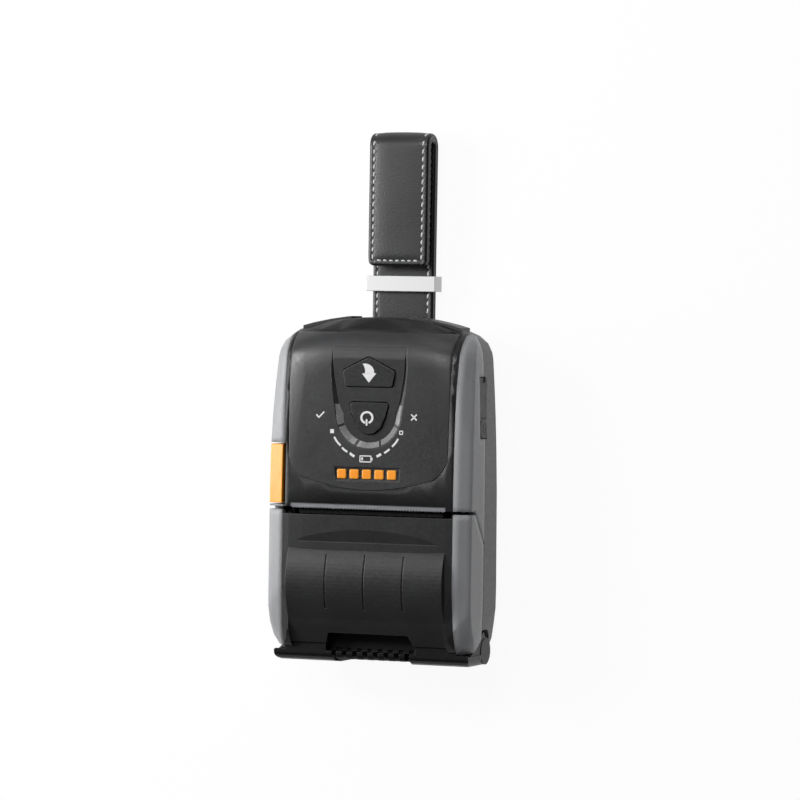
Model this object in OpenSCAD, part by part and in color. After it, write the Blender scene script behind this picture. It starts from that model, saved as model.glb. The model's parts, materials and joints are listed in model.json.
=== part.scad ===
// Portable receipt printer with a leather strap.
// It lies on its back: the underside is at z = 0, the strap leaves at +Y, the paper cover is at -Y.

/* [Body] */
// Width of the paper, which sets the width of the body
paper_w = 58; // [57:0.5:60]
// Room for gears, walls and bumpers on each side of the paper
side_w = 11.5; // [11.4:0.1:14]
// Length without the strap
body_l = 130; // [126:0.5:140]
// Height of the panel above the underside
panel_h = 40.3; // [40:0.1:43]
// Height of the line where the two shells meet
parting_h = 21.8; // [21:0.1:23]
// Radius of the two corners at the strap end
corner_r = 8; // [6:0.5:9]
// Radius of the bowed strap end, seen from above
end_bow_r = 115; // [100:1:140]
// Radius of the two corners at the hinge end
tail_r = 7; // [6:0.5:8]
// Wall of both shells
wall = 2; // [1.6:0.1:2.4]
// Thickness of the side bumpers
bumper_t = 2.4; // [2:0.1:2.8]
// Width of the sloped top facet of the side bumpers
facet_w = 6.3; // [5.6:0.1:6.6]

/* [Paper slot] */
// From the hinge axis to the tear bar
slot_reach = 53; // [52.6:0.1:53.6]
// Gap between the tear bar and the cover
slot_gap = 2.7; // [2.2:0.1:3]
// Pitch of the tear bar's teeth
tooth_pitch = 1.2; // [1:0.1:2]

/* [Paper roll] */
// Largest paper roll that fits
roll_d = 38; // [36:0.5:38.5]
// Clearance round the roll
roll_clear = 0.3; // [0.2:0.1:0.5]
// From the hinge axis to the roll
roll_reach = 24.8; // [24.4:0.1:25.2]
// Rise of the paper cover above the panel
bulge_rise = 2.6; // [2.2:0.1:3]
// Radius of the paper cover's curve
bulge_curve_r = 29; // [27:0.5:31]
// Wall of the paper cover
cover_wall = 1.4; // [1.2:0.1:1.6]
// Number of ribs on the hinge bar
rib_count = 7; // [5:1:9]

/* [Hinge] */
// From the end of the body to the hinge axis
hinge_inset = 5.6; // [5.2:0.1:6]
// Height of the hinge axis
hinge_z = 14.8; // [14:0.1:15.5]
// Diameter of the outer knuckles
knuckle_d = 10.6; // [9.6:0.1:11]
// Diameter of the hinge pins
hinge_pin_d = 3; // [2.5:0.1:3.4]
// Radial clearance of every turning fit
fit = 0.05; // [0.03:0.01:0.08]

/* [Platen and drive] */
// Diameter of the platen roller
platen_d = 9; // [8:0.2:9.4]
// Diameter of the platen shaft
shaft_d = 4; // [3:0.1:4.4]
// Gear module
gear_m = 0.5; // [0.48:0.01:0.52]
// Teeth of the platen gear
platen_teeth = 20; // [16:4:20]
// Teeth of the idler gear
idler_teeth = 16; // [14:2:18]
// Teeth of the large reduction gear
large_teeth = 36; // [30:2:38]
// Teeth of the small reduction gear and of the motor pinion
small_teeth = 12; // [12:1:14]
// Width of a gear
gear_w = 1.3; // [1.1:0.1:1.4]
// Diameter of the motor
motor_d = 20; // [18:0.5:20]
// Length of the motor
motor_l = 15; // [12:0.5:18]

/* [Panel and buttons] */
// Thickness of the panel plate
panel_t = 1.2; // [1:0.1:1.5]
// Depth of the button well at its rounded end
well_depth = 1.9; // [1.5:0.1:2]
// Travel of the two panel buttons
key_travel = 0.6; // [0.4:0.1:0.8]
// Gap round a button
key_gap = 0.35; // [0.3:0.05:0.5]
// Length of the orange cover button
release_l = 22; // [18:0.5:24]
// Travel of the orange cover button
release_travel = 1.5; // [1:0.1:1.5]

/* [Battery] */
// Width of the battery pack
pack_w = 52; // [46:1:52]
// Length of the battery pack
pack_l = 35; // [30:1:35]
// Height of the battery pack
pack_h = 18.6; // [16:0.2:18.8]

/* [Strap] */
// Width of the strap
strap_w = 24.8; // [22:0.2:26]
// Thickness of the back strap, two layers of leather
strap_t = 3.6; // [3:0.1:4]
// From the strap bar to the start of the fold
strap_l = 68.5; // [60:0.5:90]
// Length of the flap, from the fold to its end
flap_l = 45.2; // [36:0.2:48]
// Height of the flap's face above the back strap's rear face
loop_h = 10; // [9.4:0.1:11]
// Diameter of the strap bar
strap_bar_d = 3; // [2.6:0.1:3.2]
// Width of the metal keeper along the strap
keeper_l = 5.8; // [4:0.1:7]

/* [Port cover] */
// Length of the flap over the sockets
port_l = 15.2; // [14:0.2:16]
// Height of the flap over the sockets
port_h = 8.2; // [7.4:0.1:8.6]
// From the strap end of the body to the bend of the flap
port_inset = 37.1; // [36.6:0.1:38]

/* [Hidden] */

$fn = 48;
black = "#232326";
charcoal = "#2f2f33";
grey = "#8e8d92";
orange = "#f08a1c";
steel = "#b9bcc0";
silver = "#d8d9dc";
rubber_black = "#1b1b1c";
leather_black = "#303033";
white = "#e4e4e2";
green = "#20623a";
brass = "#c9a24a";
far = 90;
eps = 0.01;

body_w = paper_w + 2 * side_w;
half_w = body_w / 2;
end_y = body_l / 2;
tail_y = -end_y + 2.8;
tail_x = half_w - tail_r - 0.3;
hinge_y = -end_y + hinge_inset;
slot_y = hinge_y + slot_reach;
roll_y = hinge_y + roll_reach;
bow_y = end_y - end_bow_r;
corner_x = half_w - corner_r - 1.3;
bow_turn = asin(corner_x / (end_bow_r - corner_r));
corner_y = bow_y + (end_bow_r - corner_r) * cos(bow_turn);
// Heights above the hinge are given for a panel 25.5 above its axis, and follow the panel
lift = (panel_h - hinge_z) / 25.5;
edge_h = panel_h - 3.2;
shoulder_h = panel_h - 0.6;
crease_y = end_y - 5.8;
band_x = half_w - facet_w;
skin_x = bumper_t + wall - 0.4;
cover_y = slot_y - slot_gap;
cover_gap = 1.2;

roll_r = roll_d / 2 + roll_clear;
roll_z = roll_r + 1.4;
bulge_top = panel_h + bulge_rise;
bulge_x = paper_w / 2 + 2.3;
bay_x = paper_w / 2 + 0.4;

knuckle_r = knuckle_d / 2;
barrel_r = 4;
lug_x0 = bay_x + 0.5;
lug_x1 = lug_x0 + 3.8;
knuckle_x0 = lug_x1 + 0.6;
knuckle_x1 = half_w - 2;
bar_y = hinge_y - 5.3;
rim_z = hinge_z + 19.4 * lift;

platen_z = panel_h - 7.8;
platen_y = cover_y - platen_d / 2;
platen_x = paper_w / 2 - 0.2;
arm_x0 = paper_w / 2 + 0.4;
arm_x1 = arm_x0 + 1.6;
plate_x0 = arm_x1 + 0.4;
plate_x1 = plate_x0 + 1;
gear_x1 = plate_x1 + 0.3;
gear_x2 = gear_x1 + gear_w + 0.3;

swing_y = platen_y - hinge_y;
swing_z = platen_z - hinge_z;
swing_r = sqrt(swing_y * swing_y + swing_z * swing_z);
platen_pitch = gear_m * platen_teeth / 2;
idler_pitch = gear_m * idler_teeth / 2;
large_pitch = gear_m * large_teeth / 2;
small_pitch = gear_m * small_teeth / 2;
idler_y = platen_y + (platen_pitch + idler_pitch) * swing_z / swing_r;
idler_z = platen_z - (platen_pitch + idler_pitch) * swing_y / swing_r;
reduction_turn = -14;
reduction_y = idler_y + (idler_pitch + small_pitch) * cos(reduction_turn);
reduction_z = idler_z + (idler_pitch + small_pitch) * sin(reduction_turn);
motor_turn = -10;
motor_y = reduction_y + (large_pitch + small_pitch) * cos(motor_turn);
motor_z = reduction_z + (large_pitch + small_pitch) * sin(motor_turn);

board_z = panel_h - 10;
board_t = 1.4;
board_x = min(27.8, half_w - 12.7);
switch_h = 2.4;
board_y0 = motor_y + motor_d / 2 - 6;
board_y1 = crease_y - 6;

pack_z = 0.3;
pack_gap = 0.3;
pack_y1 = end_y - 9.4;
pack_y0 = pack_y1 - pack_l;
bay_wall = 1.2;

strap_y = end_y - 4;
strap_z = 5.3;
strap_x = strap_w / 2;
notch_x = strap_x + 2.2;
notch_y = strap_y - 4;
strap_back_z = strap_z - strap_t / 2;
fold_y = strap_y + strap_l;
fold_z = strap_back_z + loop_h / 2;
flap_t = 3.4;
flap_z1 = strap_back_z + loop_h;
flap_z0 = flap_z1 - flap_t;
flap_y = fold_y - flap_l;
keeper_y = strap_y + 16.7;
snap_y = flap_y + 8;

port_x = half_w - 1.2;
port_y = end_y - port_inset;
port_z1 = parting_h + 5.6;
port_z0 = port_z1 - port_h;
port_t = 1.5;
io_z = 17.8;

// Plain shapes placed by their limits
module block(x0, x1, y0, y1, z0, z1) {
  translate([x0, y0, z0]) cube([x1 - x0, y1 - y0, z1 - z0]);
}
module both_sides() {
  children();
  mirror([1, 0, 0]) children();
}
module rod_x(r, x0, x1, y, z) {
  translate([x0, y, z]) rotate([0, 90, 0]) cylinder(r = r, h = x1 - x0);
}
module rod_y(r, y0, y1, x, z) {
  translate([x, y1, z]) rotate([90, 0, 0]) cylinder(r = r, h = y1 - y0);
}
module rod_z(r, z0, z1, x, y) {
  translate([x, y, z0]) cylinder(r = r, h = z1 - z0);
}
// A Y-Z outline, extruded from x0 to x1
module slab_x(x0, x1) {
  translate([x0, 0, 0]) rotate([90, 0, 90]) linear_extrude(x1 - x0) children();
}
module round_box(x0, x1, y0, y1, z0, z1, r) {
  translate([0, 0, z0]) linear_extrude(z1 - z0) translate([x0 + r, y0 + r])
    offset(r = r) square([x1 - x0 - 2 * r, y1 - y0 - 2 * r]);
}

function arc(x, y, r, a0, a1, n = 6) =
  [for (i = [0:n]) let (a = a0 + (a1 - a0) * i / n) [x + r * cos(a), y + r * sin(a)]];

// Half width along the sides, which draw in a little towards both ends
function side_at(y) = half_w - 0.0006 * pow(max(0, y - 8), 2) - 0.003 * pow(max(0, 20 - end_y - y), 2);
// Places along the body and the half width there, for a skin that lies t inside
function stations(t) = concat(
  [for (a = [90, 60, 30, 0]) [tail_y + tail_r - (tail_r - t) * sin(a), tail_x + (tail_r - t) * cos(a)]],
  [for (y = [15 - end_y, 21 - end_y, 29 - end_y, 0, 16, 28, 38, 46, end_y - 15]) [y, side_at(y) - t]],
  [for (a = [0, 25, 50, 90 - bow_turn]) [corner_y + (corner_r - t) * sin(a), corner_x + (corner_r - t) * cos(a)]],
  [for (k = [0.8, 0.6, 0.4, 0.2, 0.04]) [bow_y + (end_bow_r - t) * cos(k * bow_turn),
    (end_bow_r - t) * sin(k * bow_turn)]]);
function mirrored(half) = concat(half, [for (i = [len(half) - 1:-1:0]) [-half[i][0], half[i][1]]]);
// Outline of the body from above, drawn in by an inset
function body_outline(inset) = mirrored([for (s = stations(inset)) [s[1], s[0]]]);

// The top falls away towards both ends: at the bumper's outer edge, at its inner edge, and in the middle
function edge_fall(y) = 0.0018 * pow(max(0, y), 2) + 0.08 * pow(max(0, y - end_y + 15), 2)
  + 0.03 * pow(max(0, 23 - end_y - y), 2);
function shoulder_fall(y) = 0.00125 * pow(max(0, y), 2) + 0.07 * pow(max(0, y - end_y + 15), 2)
  + 0.0155 * pow(max(0, 29 - end_y - y), 2);
function top_fall(y) = 0.019 * pow(max(0, y - crease_y + 13), 2);
// The underside draws in towards both ends too
function low_inset(y) = 0.025 * max(0, y + 15) + 0.03 * pow(max(0, y - end_y + 15), 2)
  + 0.1 * max(0, 22 - end_y - y);

// One cross-section of the body, half of it, from the underside to the middle of the top
function section(y, w, t) = let (bx = min(w, band_x - 0.6 * t), low = low_inset(y),
    edge = max(edge_h - edge_fall(y), parting_h + 2.5) - 0.5 * t, rim = edge_h - 6 - 4 * pow(w / corner_x, 2),
    shoulder = max(shoulder_h - shoulder_fall(y), parting_h + 4.6) - t, top = panel_h - top_fall(y) - t,
    bend = max(3, 12 - 0.7 * max(0, y - crease_y + 13)))
  concat([[max(0.2, w - 4.3 - low), t], [max(0.3, w - 2.5 - low), 2.4 + 0.5 * t], [max(0.4, w - 0.35 - 0.35 * low), parting_h]],
    y > crease_y + 0.1 - t ? [[w, rim - 0.5 * t]] : concat([[w, edge], [bx, shoulder]],
      [for (u = [0.92, 0.75, 0.45]) [u * bx, top - (top - shoulder) * pow(u, bend)]]));

module body_form(t = 0) {
  intersection() {
    hull() for (s = stations(t)) translate([0, s[0], 0]) rotate([90, 0, 0])
      linear_extrude(eps) polygon(mirrored(section(s[0], s[1], t)));
    slab_x(-far, far) polygon([[tail_y + 3.6 + t, 0], [tail_y + 1.9 + t, 2.4], [tail_y + t - eps, 10],
      [tail_y + t - eps, far], [end_y + 0.2 - t, far], [end_y + 0.2 - t, 10], [end_y - 1.5 - t, 4.5],
      [end_y - 5.5 - t, 0]]);
  }
}

// Side view of the line where the cover meets the fixed body
function seam(gap) = [[slot_y - gap, far], [slot_y - gap, panel_h - 7.5 - 0.4 * gap],
  [slot_y - 10.4 - gap, parting_h + 1.8 - 0.4 * gap], [slot_y - 12 - gap, parting_h]];

module fixed_zone() {
  slab_x(-far, far) polygon(concat(seam(0), [[slot_y - 12, parting_h], [far, parting_h], [far, far]]));
}
// Side view of the cover: rounded down towards the hinge
tail_curve = [[slot_y - 12 - cover_gap, parting_h + 0.3], [hinge_y + 11, parting_h + 0.3],
  [hinge_y + 5, hinge_z + 6.8 * lift], [hinge_y + 2.4, hinge_z + 9.4 * lift],
  [hinge_y, hinge_z + 13.2 * lift], [hinge_y - 1, hinge_z + 16.4 * lift],
  [hinge_y - 0.4, hinge_z + 18.8 * lift], [hinge_y + 1.2, hinge_z + 21 * lift],
  [hinge_y + 3.8, hinge_z + 23 * lift], [hinge_y + 7.4, panel_h - 1.2], [hinge_y + 11, panel_h - 0.3],
  [hinge_y + 14, panel_h]];
module cover_zone() {
  slab_x(-far, far) polygon(concat(seam(cover_gap), tail_curve,
    [[hinge_y + 14, far]]));
}
// The grey bumpers lie outside this line
module band_zone() {
  linear_extrude(far) polygon([[far, -far], [band_x + 0.5, -far], [band_x + 0.4, hinge_y],
    [band_x, hinge_y + 22], [band_x, 30], [band_x + 0.5, crease_y], [band_x + 0.5, far], [far, far]]);
}
module bumper() {
  difference() {
    intersection() {
      body_form();
      band_zone();
    }
    body_form(bumper_t);
  }
}

// Window for the orange button, at the left edge
release_y0 = slot_y + 1.2;
release_y1 = release_y0 + release_l;
release_z = edge_h - 9.5;
module release_window(gap = 0) {
  block(-far, -band_x + 1.3 - gap * 0.3, release_y0 - gap, release_y1 + gap, release_z - gap, far);
}

// The panel's outline: straight sides and a bowed lower edge with cut corners
panel_y = slot_y + 6.8;
badge_y = panel_y + 6.05;
function panel_outline(g) = mirrored(concat(
  [for (i = [0:8]) let (x = i * (half_w - 18) / 8) [x, panel_y + g + 3.4 * pow(x / (half_w - 18), 2)]],
  [[half_w - 13.6 - g, panel_y + 4.5 + g], [half_w - 10.4 - g, panel_y + 7.8 + g],
   [half_w - 8.6 - g, panel_y + 11.6], [half_w - 8.3 - g, crease_y - 29], [half_w - 8 - g, crease_y]]));

// The U of the button well, and the island that carries the buttons
well_top = crease_y - 5.4;
well_x = 15.3;
well_low = well_top - 38.2;
function well_line(x, x_low, low) = mirrored(concat(arc(0, low + x_low, x_low, -90, 0, 12),
  [[x - 0.6, well_top - 16.8], [x, well_top - 7.8], [x - 0.6, well_top]]));
function island_line() = mirrored(concat(arc(0, well_low + 13.2, 10.5, -90, 0, 12),
  [[11.6, well_top - 22.2], [12.6, well_top - 18.6], [13.9, well_top - 11.4], [14.4, well_top - 6.8],
   [14.6, well_top]]));
well_tilt = atan(well_depth / 35.5);
guide_y = well_top - 21.4;
// The hollow of the well: its wall slopes in from the U to the edge of the island
module well_hollow() {
  hull() {
    translate([0, 0, panel_h]) linear_extrude(2) polygon(well_line(well_x - 0.15, 13.25, well_low + 0.15));
    translate([0, well_top, panel_h - 1]) rotate([atan((well_depth - 1) / 35.5), 0, 0])
      translate([0, -well_top, 0]) linear_extrude(eps) polygon(island_line());
  }
}
// Room for the five windows of the light guide, with bars left between them
module guide_zone() {
  difference() {
    translate([0, 0, panel_h - well_depth - 0.7]) linear_extrude(well_depth + 0.6) difference() {
      polygon(well_line(well_x - 0.5, 12.9, well_low + 0.5));
      polygon(island_line());
      translate([-far, guide_y]) square(2 * far);
    }
    for (a = [-158, -113, -67, -22]) translate([0, well_low + 13.4, 0]) rotate(a)
      block(5, 20, -0.45, 0.45, 0, far);
  }
}
feed_y = well_top - 9.8;
power_y = well_top - 25.4;
module feed_shape(g = 0) {
  translate([0, feed_y]) offset(r = 1.2 + g)
    polygon([[0, 4.8], [9.2, 0.2], [8.4, -3.7], [-8.4, -3.7], [-9.2, 0.2]]);
}
module power_shape(g = 0) {
  translate([0, power_y]) offset(r = 1.2 + g) polygon([[6.4, 3.6], [5.4, 0], [3.7, -3.8], [1.6, -5.5],
    [0, -5.9], [-1.6, -5.5], [-3.7, -3.8], [-5.4, 0], [-6.4, 3.6]]);
}

// A gear with straight-sided teeth on its pitch circle, its axis along X
module gear(teeth, x0, x1, y, z, bore_r, turn = 0) {
  pitch = gear_m * teeth / 2;
  step = 360 / teeth;
  translate([x0, y, z]) rotate([90, 0, 90]) rotate(turn) linear_extrude(x1 - x0) difference() {
    polygon([for (i = [0:teeth - 1]) for (p = [[-0.34, -1.2], [-0.11, 0.9], [0.11, 0.9], [0.34, -1.2]])
      let (a = (i + p[0]) * step, r = pitch + p[1] * gear_m) [r * cos(a), r * sin(a)]]);
    circle(r = bore_r);
  }
}

// A coil of round wire along +Z, as one swept tube
module coil(r, wire, turns, h, rings = 10, sides = 6) {
  count = ceil(turns * rings);
  ring = [for (i = [0:count]) let (a = 360 * turns * i / count, z = h * i / count)
    for (j = [0:sides - 1]) let (b = 360 * j / sides)
      [(r + wire / 2 * cos(b)) * cos(a), (r + wire / 2 * cos(b)) * sin(a), z + wire / 2 * sin(b)]];
  side = [for (i = [0:count - 1]) for (j = [0:sides - 1])
    let (k = (j + 1) % sides, a = i * sides + j, b = i * sides + k, c = b + sides, d = a + sides)
      for (t = [[a, b, c], [a, c, d]]) t];
  caps = concat([for (j = [1:sides - 2]) [0, j + 1, j]],
    [for (j = [1:sides - 2]) let (s = count * sides) [s, s + j, s + j + 1]]);
  polyhedron(ring, concat(side, caps));
}

// Lower shell

module battery_space() {
  block(-pack_w / 2 - pack_gap, pack_w / 2 + pack_gap, pack_y0 - pack_gap, pack_y1 + pack_gap,
    -1, pack_z + pack_h + 0.7);
}
module battery_box() {
  grow = bay_wall + pack_gap;
  difference() {
    block(-pack_w / 2 - grow, pack_w / 2 + grow, pack_y0 - grow, pack_y1 + grow, 0,
      pack_z + pack_h + 0.7 + bay_wall);
    battery_space();
  }
}
module strap_pocket() {
  block(-notch_x, notch_x, notch_y, far, -1, strap_z + 10.7);
}
// Recess for the port flap, and the opening for the sockets behind it
module port_window(x0) {
  block(x0, far, port_y - 7.7, port_y + port_l + 0.4, port_z0 - 0.3, port_z1 + 0.3);
}
module port_cut() {
  block(half_w - 12, far, port_y + 0.6, port_y + port_l - 0.6, io_z + 0.9, io_z + 7.2);
}
// The four case screws, from below
screw_places = [[half_w - 9.9, pack_y1 - 7.6], [half_w - 7.4, 20.5]];
module at_screws() {
  both_sides() for (p = screw_places) translate([p[0], p[1], 0]) children();
}
module bottom_shell() color(black) {
  difference() {
    union() {
      difference() {
        intersection() {
          body_form();
          block(-far, far, -far, far, -1, parting_h);
        }
        intersection() {
          body_form(wall);
          block(-far, far, -far, far, wall, far);
        }
        // Room for the hinge bar to swing
        block(-far, far, -far, hinge_y + barrel_r + 0.4, hinge_z - 7, far);
        block(-far, far, -far, hinge_y + knuckle_r + 2.9, hinge_z, far);
        rod_x(knuckle_r + 2.9, -far, far, hinge_y, hinge_z);
      }
      battery_box();
      // Pocket for the strap in the rear wall
      intersection() {
        block(-notch_x - 2, notch_x + 2, notch_y - bay_wall, end_y - 1, 0.5, strap_z + 12.2);
        body_form(0.3);
      }
      // Raised rims on both sides of the strap
      both_sides() intersection() {
        translate([0, 0, parting_h - 3.8]) linear_extrude(10.4) difference() {
          polygon(body_outline(-0.9));
          polygon(body_outline(0.8));
        }
        block(notch_x - 2.6, corner_x + 0.4, crease_y - 6, far, 0, far);
      }
      // Seats of the case screws
      intersection() {
        at_screws() cylinder(r = 3, h = 5.9);
        body_form(0.3);
      }
      // Hinge lugs on the side walls of the paper bay
      both_sides() {
        rod_x(barrel_r + 0.8, lug_x0, lug_x1, hinge_y, hinge_z);
        slab_x(lug_x0, lug_x1) polygon([[hinge_y - 2.4, wall - 0.5], [hinge_y - 3.4, hinge_z - 3.6],
          [hinge_y + 4.4, hinge_z + 2], [hinge_y + 10, hinge_z + 3.6], [hinge_y + 24, hinge_z + 3.6],
          [hinge_y + 24, wall - 0.5]]);
      }
    }
    strap_pocket();
    battery_space();
    rod_x(roll_r, -bay_x, bay_x, roll_y, roll_z);
    both_sides() rod_x(hinge_pin_d / 2 + fit, lug_x0 - 1, lug_x1 + 1, hinge_y, hinge_z);
    // Strap bar and case screws
    rod_x(strap_bar_d / 2, -notch_x - 1.6, notch_x + 1.6, strap_y, strap_z);
    at_screws() {
      cylinder(r = 1.3, h = far);
      cylinder(r = 2.1, h = 2.8, center = true);
    }
    port_window(port_x - port_t);
    port_cut();
    // Battery latch and contacts
    block(-6, 6, pack_y0 - 9, pack_y0, -1, wall + 1);
    block(-7.2, 7.2, pack_y0 - 4, pack_y0, 5.6, 12.4);
  }
}

// The black skin: full height in the middle, stepped in under the grey bumpers
module dark_form() {
  difference() {
    body_form();
    both_sides() band_zone();
  }
  body_form(bumper_t);
}
module top_shell() color(black) difference() {
  intersection() {
    dark_form();
    fixed_zone();
  }
  difference() {
    translate([0, 0, wall - 0.4]) body_form(skin_x);
    // Screw bosses
    at_screws() translate([0, 0, 6]) difference() {
      cylinder(r = 2.4, h = far);
      cylinder(r = 1.2, h = 12, $fn = 32);
    }
  }
  at_screws() cylinder(r = 3.6, h = 6);
  // Seat and window for the panel
  difference() {
    linear_extrude(far) polygon(panel_outline(0));
    body_form(panel_t);
  }
  linear_extrude(far) polygon(well_line(well_x, 13.4, well_low));
  release_window(0.6);
  port_cut();
  rod_x(1.2, 30, far, port_y - 4, port_z1 - 2.4);
  // The rear rims of the lower shell
  both_sides() intersection() {
    translate([0, 0, parting_h - 1]) linear_extrude(7.8) difference() {
      square(2 * far, center = true);
      polygon(body_outline(1));
    }
    block(notch_x - 2.8, corner_x + 0.6, crease_y - 6.2, far, 0, far);
  }
  // Step for the tear bar
  block(-tear_x, tear_x, slot_y - 1, slot_y + 1.6, panel_h - 1.6, far);
}

module side_bumper_right() color(grey) difference() {
  intersection() {
    bumper();
    fixed_zone();
  }
  port_window(port_x - port_t);
  port_cut();
  rod_x(1.2, 30, far, port_y - 4, port_z1 - 2.4);
}
module side_bumper_left() color(grey) difference() {
  mirror([1, 0, 0]) intersection() {
    bumper();
    fixed_zone();
  }
  release_window(0.6);
}

// Panel

module panel_plate() color(charcoal) difference() {
  intersection() {
    body_form();
    translate([0, 0, parting_h + 1]) linear_extrude(far) difference() {
      polygon(panel_outline(0.15));
      polygon(well_line(well_x, 13.4, well_low));
    }
  }
  body_form(panel_t);
  block(-13, 13, badge_y - 2.55, badge_y + 2.55, panel_h - 0.5, far);
}
module badge_inlay() color(orange) for (i = [0:4]) {
  round_box(-12 + i * 5, -8.4 + i * 5, badge_y - 1.75, badge_y + 1.75, panel_h - 0.5, panel_h, 0.5);
}
well_base = panel_h - well_depth - 1.3;
module button_bezel() color(black) difference() {
  intersection() {
    body_form();
    union() {
      difference() {
        translate([0, 0, well_base]) linear_extrude(far) polygon(well_line(well_x, 13.4, well_low));
        well_hollow();
        guide_zone();
      }
      // The island, level with the panel at its far end and sunk towards the light guide
      difference() {
        translate([0, 0, well_base]) linear_extrude(far) polygon(island_line());
        translate([0, well_top, panel_h]) rotate([well_tilt, 0, 0]) block(-far, far, -far, far, 0, far);
      }
    }
  }
  linear_extrude(far) feed_shape(key_gap);
  linear_extrude(far) power_shape(key_gap);
}
module light_guide() color(white) difference() {
  guide_zone();
  well_hollow();
}
key_z = well_base - 0.2;
module feed_button() color(charcoal) {
  translate([0, 0, key_z]) linear_extrude(panel_h - 0.1 - key_z) feed_shape();
  rod_z(1.6, board_z + board_t + switch_h + key_travel + 0.1, key_z, 0, feed_y);
}
module power_button() color(charcoal) {
  translate([0, 0, key_z]) linear_extrude(panel_h - 0.8 - key_z) power_shape();
  rod_z(1.6, board_z + board_t + switch_h + key_travel + 0.1, key_z, 0, power_y);
}
module release_button() color(orange) difference() {
  intersection() {
    body_form();
    block(-far, -band_x - 0.4, release_y0, release_y1, release_z, far);
  }
  body_form(bumper_t);
  block(-far, far, -far, far, -far, release_z);
}
spring_y = release_y0 + release_l / 2;
spring_z = release_z + 4;
module release_spring() color(steel)
  translate([-half_w + bumper_t + 0.7, spring_y, spring_z]) rotate([0, 90, 0])
    coil(1.6, 0.4, 4, half_w - bumper_t - 0.7 - plate_x1 - 0.35);

// Port cover

module port_cover() color(rubber_black) difference() {
  block(port_x - port_t, port_x, port_y + 0.2, port_y + port_l, port_z0, port_z1);
  block(port_x - 0.6, far, port_y + port_l - 2, far, port_z0 + 2, port_z1 - 2);
}
module port_anchor() color(rubber_black) {
  intersection() {
    union() {
      block(port_x - port_t, port_x, port_y - 7.4, port_y, port_z0, port_z1);
      rod_x(port_h / 2 - 0.6, port_x - port_t, port_x + 0.3, port_y - 4, (port_z0 + port_z1) / 2);
    }
    block(0, far, port_y - 7.4, port_y, port_z0, port_z1);
  }
  rod_x(1.2, port_x - port_t - 2.6, port_x - port_t, port_y - 4, port_z1 - 2.4);
}

// Print mechanism

tear_x = paper_w / 2 + 2.3;
module tear_bar() color(silver) {
  teeth = floor(2 * tear_x / tooth_pitch) - 1;
  translate([0, 0, panel_h - 1.6]) linear_extrude(0.8) polygon(concat(
    [[-tear_x, slot_y + 1.6], [-tear_x, slot_y]],
    [for (i = [0:teeth - 1]) for (k = [0, 0.5])
      [(i + k - teeth / 2) * tooth_pitch, slot_y - (k == 0 ? 0 : 0.5)]],
    [[tear_x, slot_y], [tear_x, slot_y + 1.6]]));
}
head_y = cover_y + 0.05;
head_t = 1.6;
frame_y = head_y + head_t + 3.4;
frame_low = wall;
module mech_frame() color("#3b3b40") difference() {
  union() {
    both_sides() slab_x(plate_x0, plate_x1) polygon([[platen_y - 6, frame_low],
      [platen_y - 6, platen_z - 6], [platen_y - 3.4, platen_z], [platen_y + 3.4, platen_z + 0.5],
      [frame_y + 0.2, platen_z + 3.6], [spring_y + 3, spring_z + 2.6], [motor_y + 7, motor_z + 5],
      [motor_y + 8, motor_z - 6], [motor_y + 6, frame_low]]);
    block(-plate_x0 - 0.2, plate_x0 + 0.2, frame_y, frame_y + 1.2, 14, platen_z + 3.4);
    both_sides() block(plate_x0 - 5, plate_x0 + 0.2, frame_y, frame_y + 8, frame_low, frame_low + 1.6);
  }
  // Cradle for the platen bushes
  both_sides() {
    rod_x(3.3, plate_x0 - 1, plate_x1 + 1, platen_y, platen_z);
    rod_x(1.2, plate_x0 - 1, plate_x1 + 1, idler_y, idler_z);
    rod_x(1.2, plate_x0 - 1, plate_x1 + 1, reduction_y, reduction_z);
    rod_x(1.4, plate_x0 - 1, plate_x1 + 1, motor_y, motor_z);
  }
  rod_z(1.1, 0, 10, -plate_x0 + 2.5, frame_y + 5);
  rod_z(1.1, 0, 10, plate_x0 - 2.5, frame_y + 5);
}
module print_head() color(steel) {
  difference() {
    block(-platen_x, platen_x, head_y + 0.1, head_y + head_t, platen_z - 9, platen_z + 3.4);
    both_sides() rod_y(2.6, head_y + 1, head_y + 3, 16, platen_z - 1);
  }
  block(-platen_x + 2, platen_x - 2, head_y, head_y + 0.1, platen_z - 1.6, platen_z + 1.6);
}
module head_springs() color(steel) both_sides()
  translate([16, head_y + 1.3, platen_z - 1]) rotate([-90, 0, 0])
    coil(1.9, 0.5, 4, frame_y - head_y - 1.6, 8);
module stepper_motor() color(steel) difference() {
  rod_x(motor_d / 2, plate_x0 - motor_l, plate_x0, motor_y, motor_z);
  rod_x(1 + fit, plate_x0 - 4, far, motor_y, motor_z);
}
module motor_shaft() color(steel)
  rod_x(1, plate_x0 - 3.8, gear_x2 + gear_w, motor_y, motor_z);
// Turns that bring each pair of gears into mesh at rest
idler_dir = atan2(idler_z - platen_z, idler_y - platen_y);
platen_mesh = idler_dir;
idler_mesh = idler_dir + 180 + 180 / idler_teeth;
small_mesh = reduction_turn + 180
  + ((reduction_turn - idler_mesh) / (360 / idler_teeth) - round((reduction_turn - idler_mesh)
  / (360 / idler_teeth))) * (360 / small_teeth) + 180 / small_teeth;
module platen_gear() color(white)
  gear(platen_teeth, gear_x1, gear_x1 + gear_w, platen_y, platen_z, shaft_d / 2, platen_mesh);
module idler_gear() color(white)
  gear(idler_teeth, gear_x1, gear_x1 + gear_w, idler_y, idler_z, 1.2 + fit, idler_mesh);
module reduction_gear() color(white) {
  gear(small_teeth, gear_x1, gear_x1 + gear_w + 0.3, reduction_y, reduction_z, 1.2 + fit, small_mesh);
  gear(large_teeth, gear_x2, gear_x2 + gear_w, reduction_y, reduction_z, 1.2 + fit, motor_turn);
}
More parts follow.
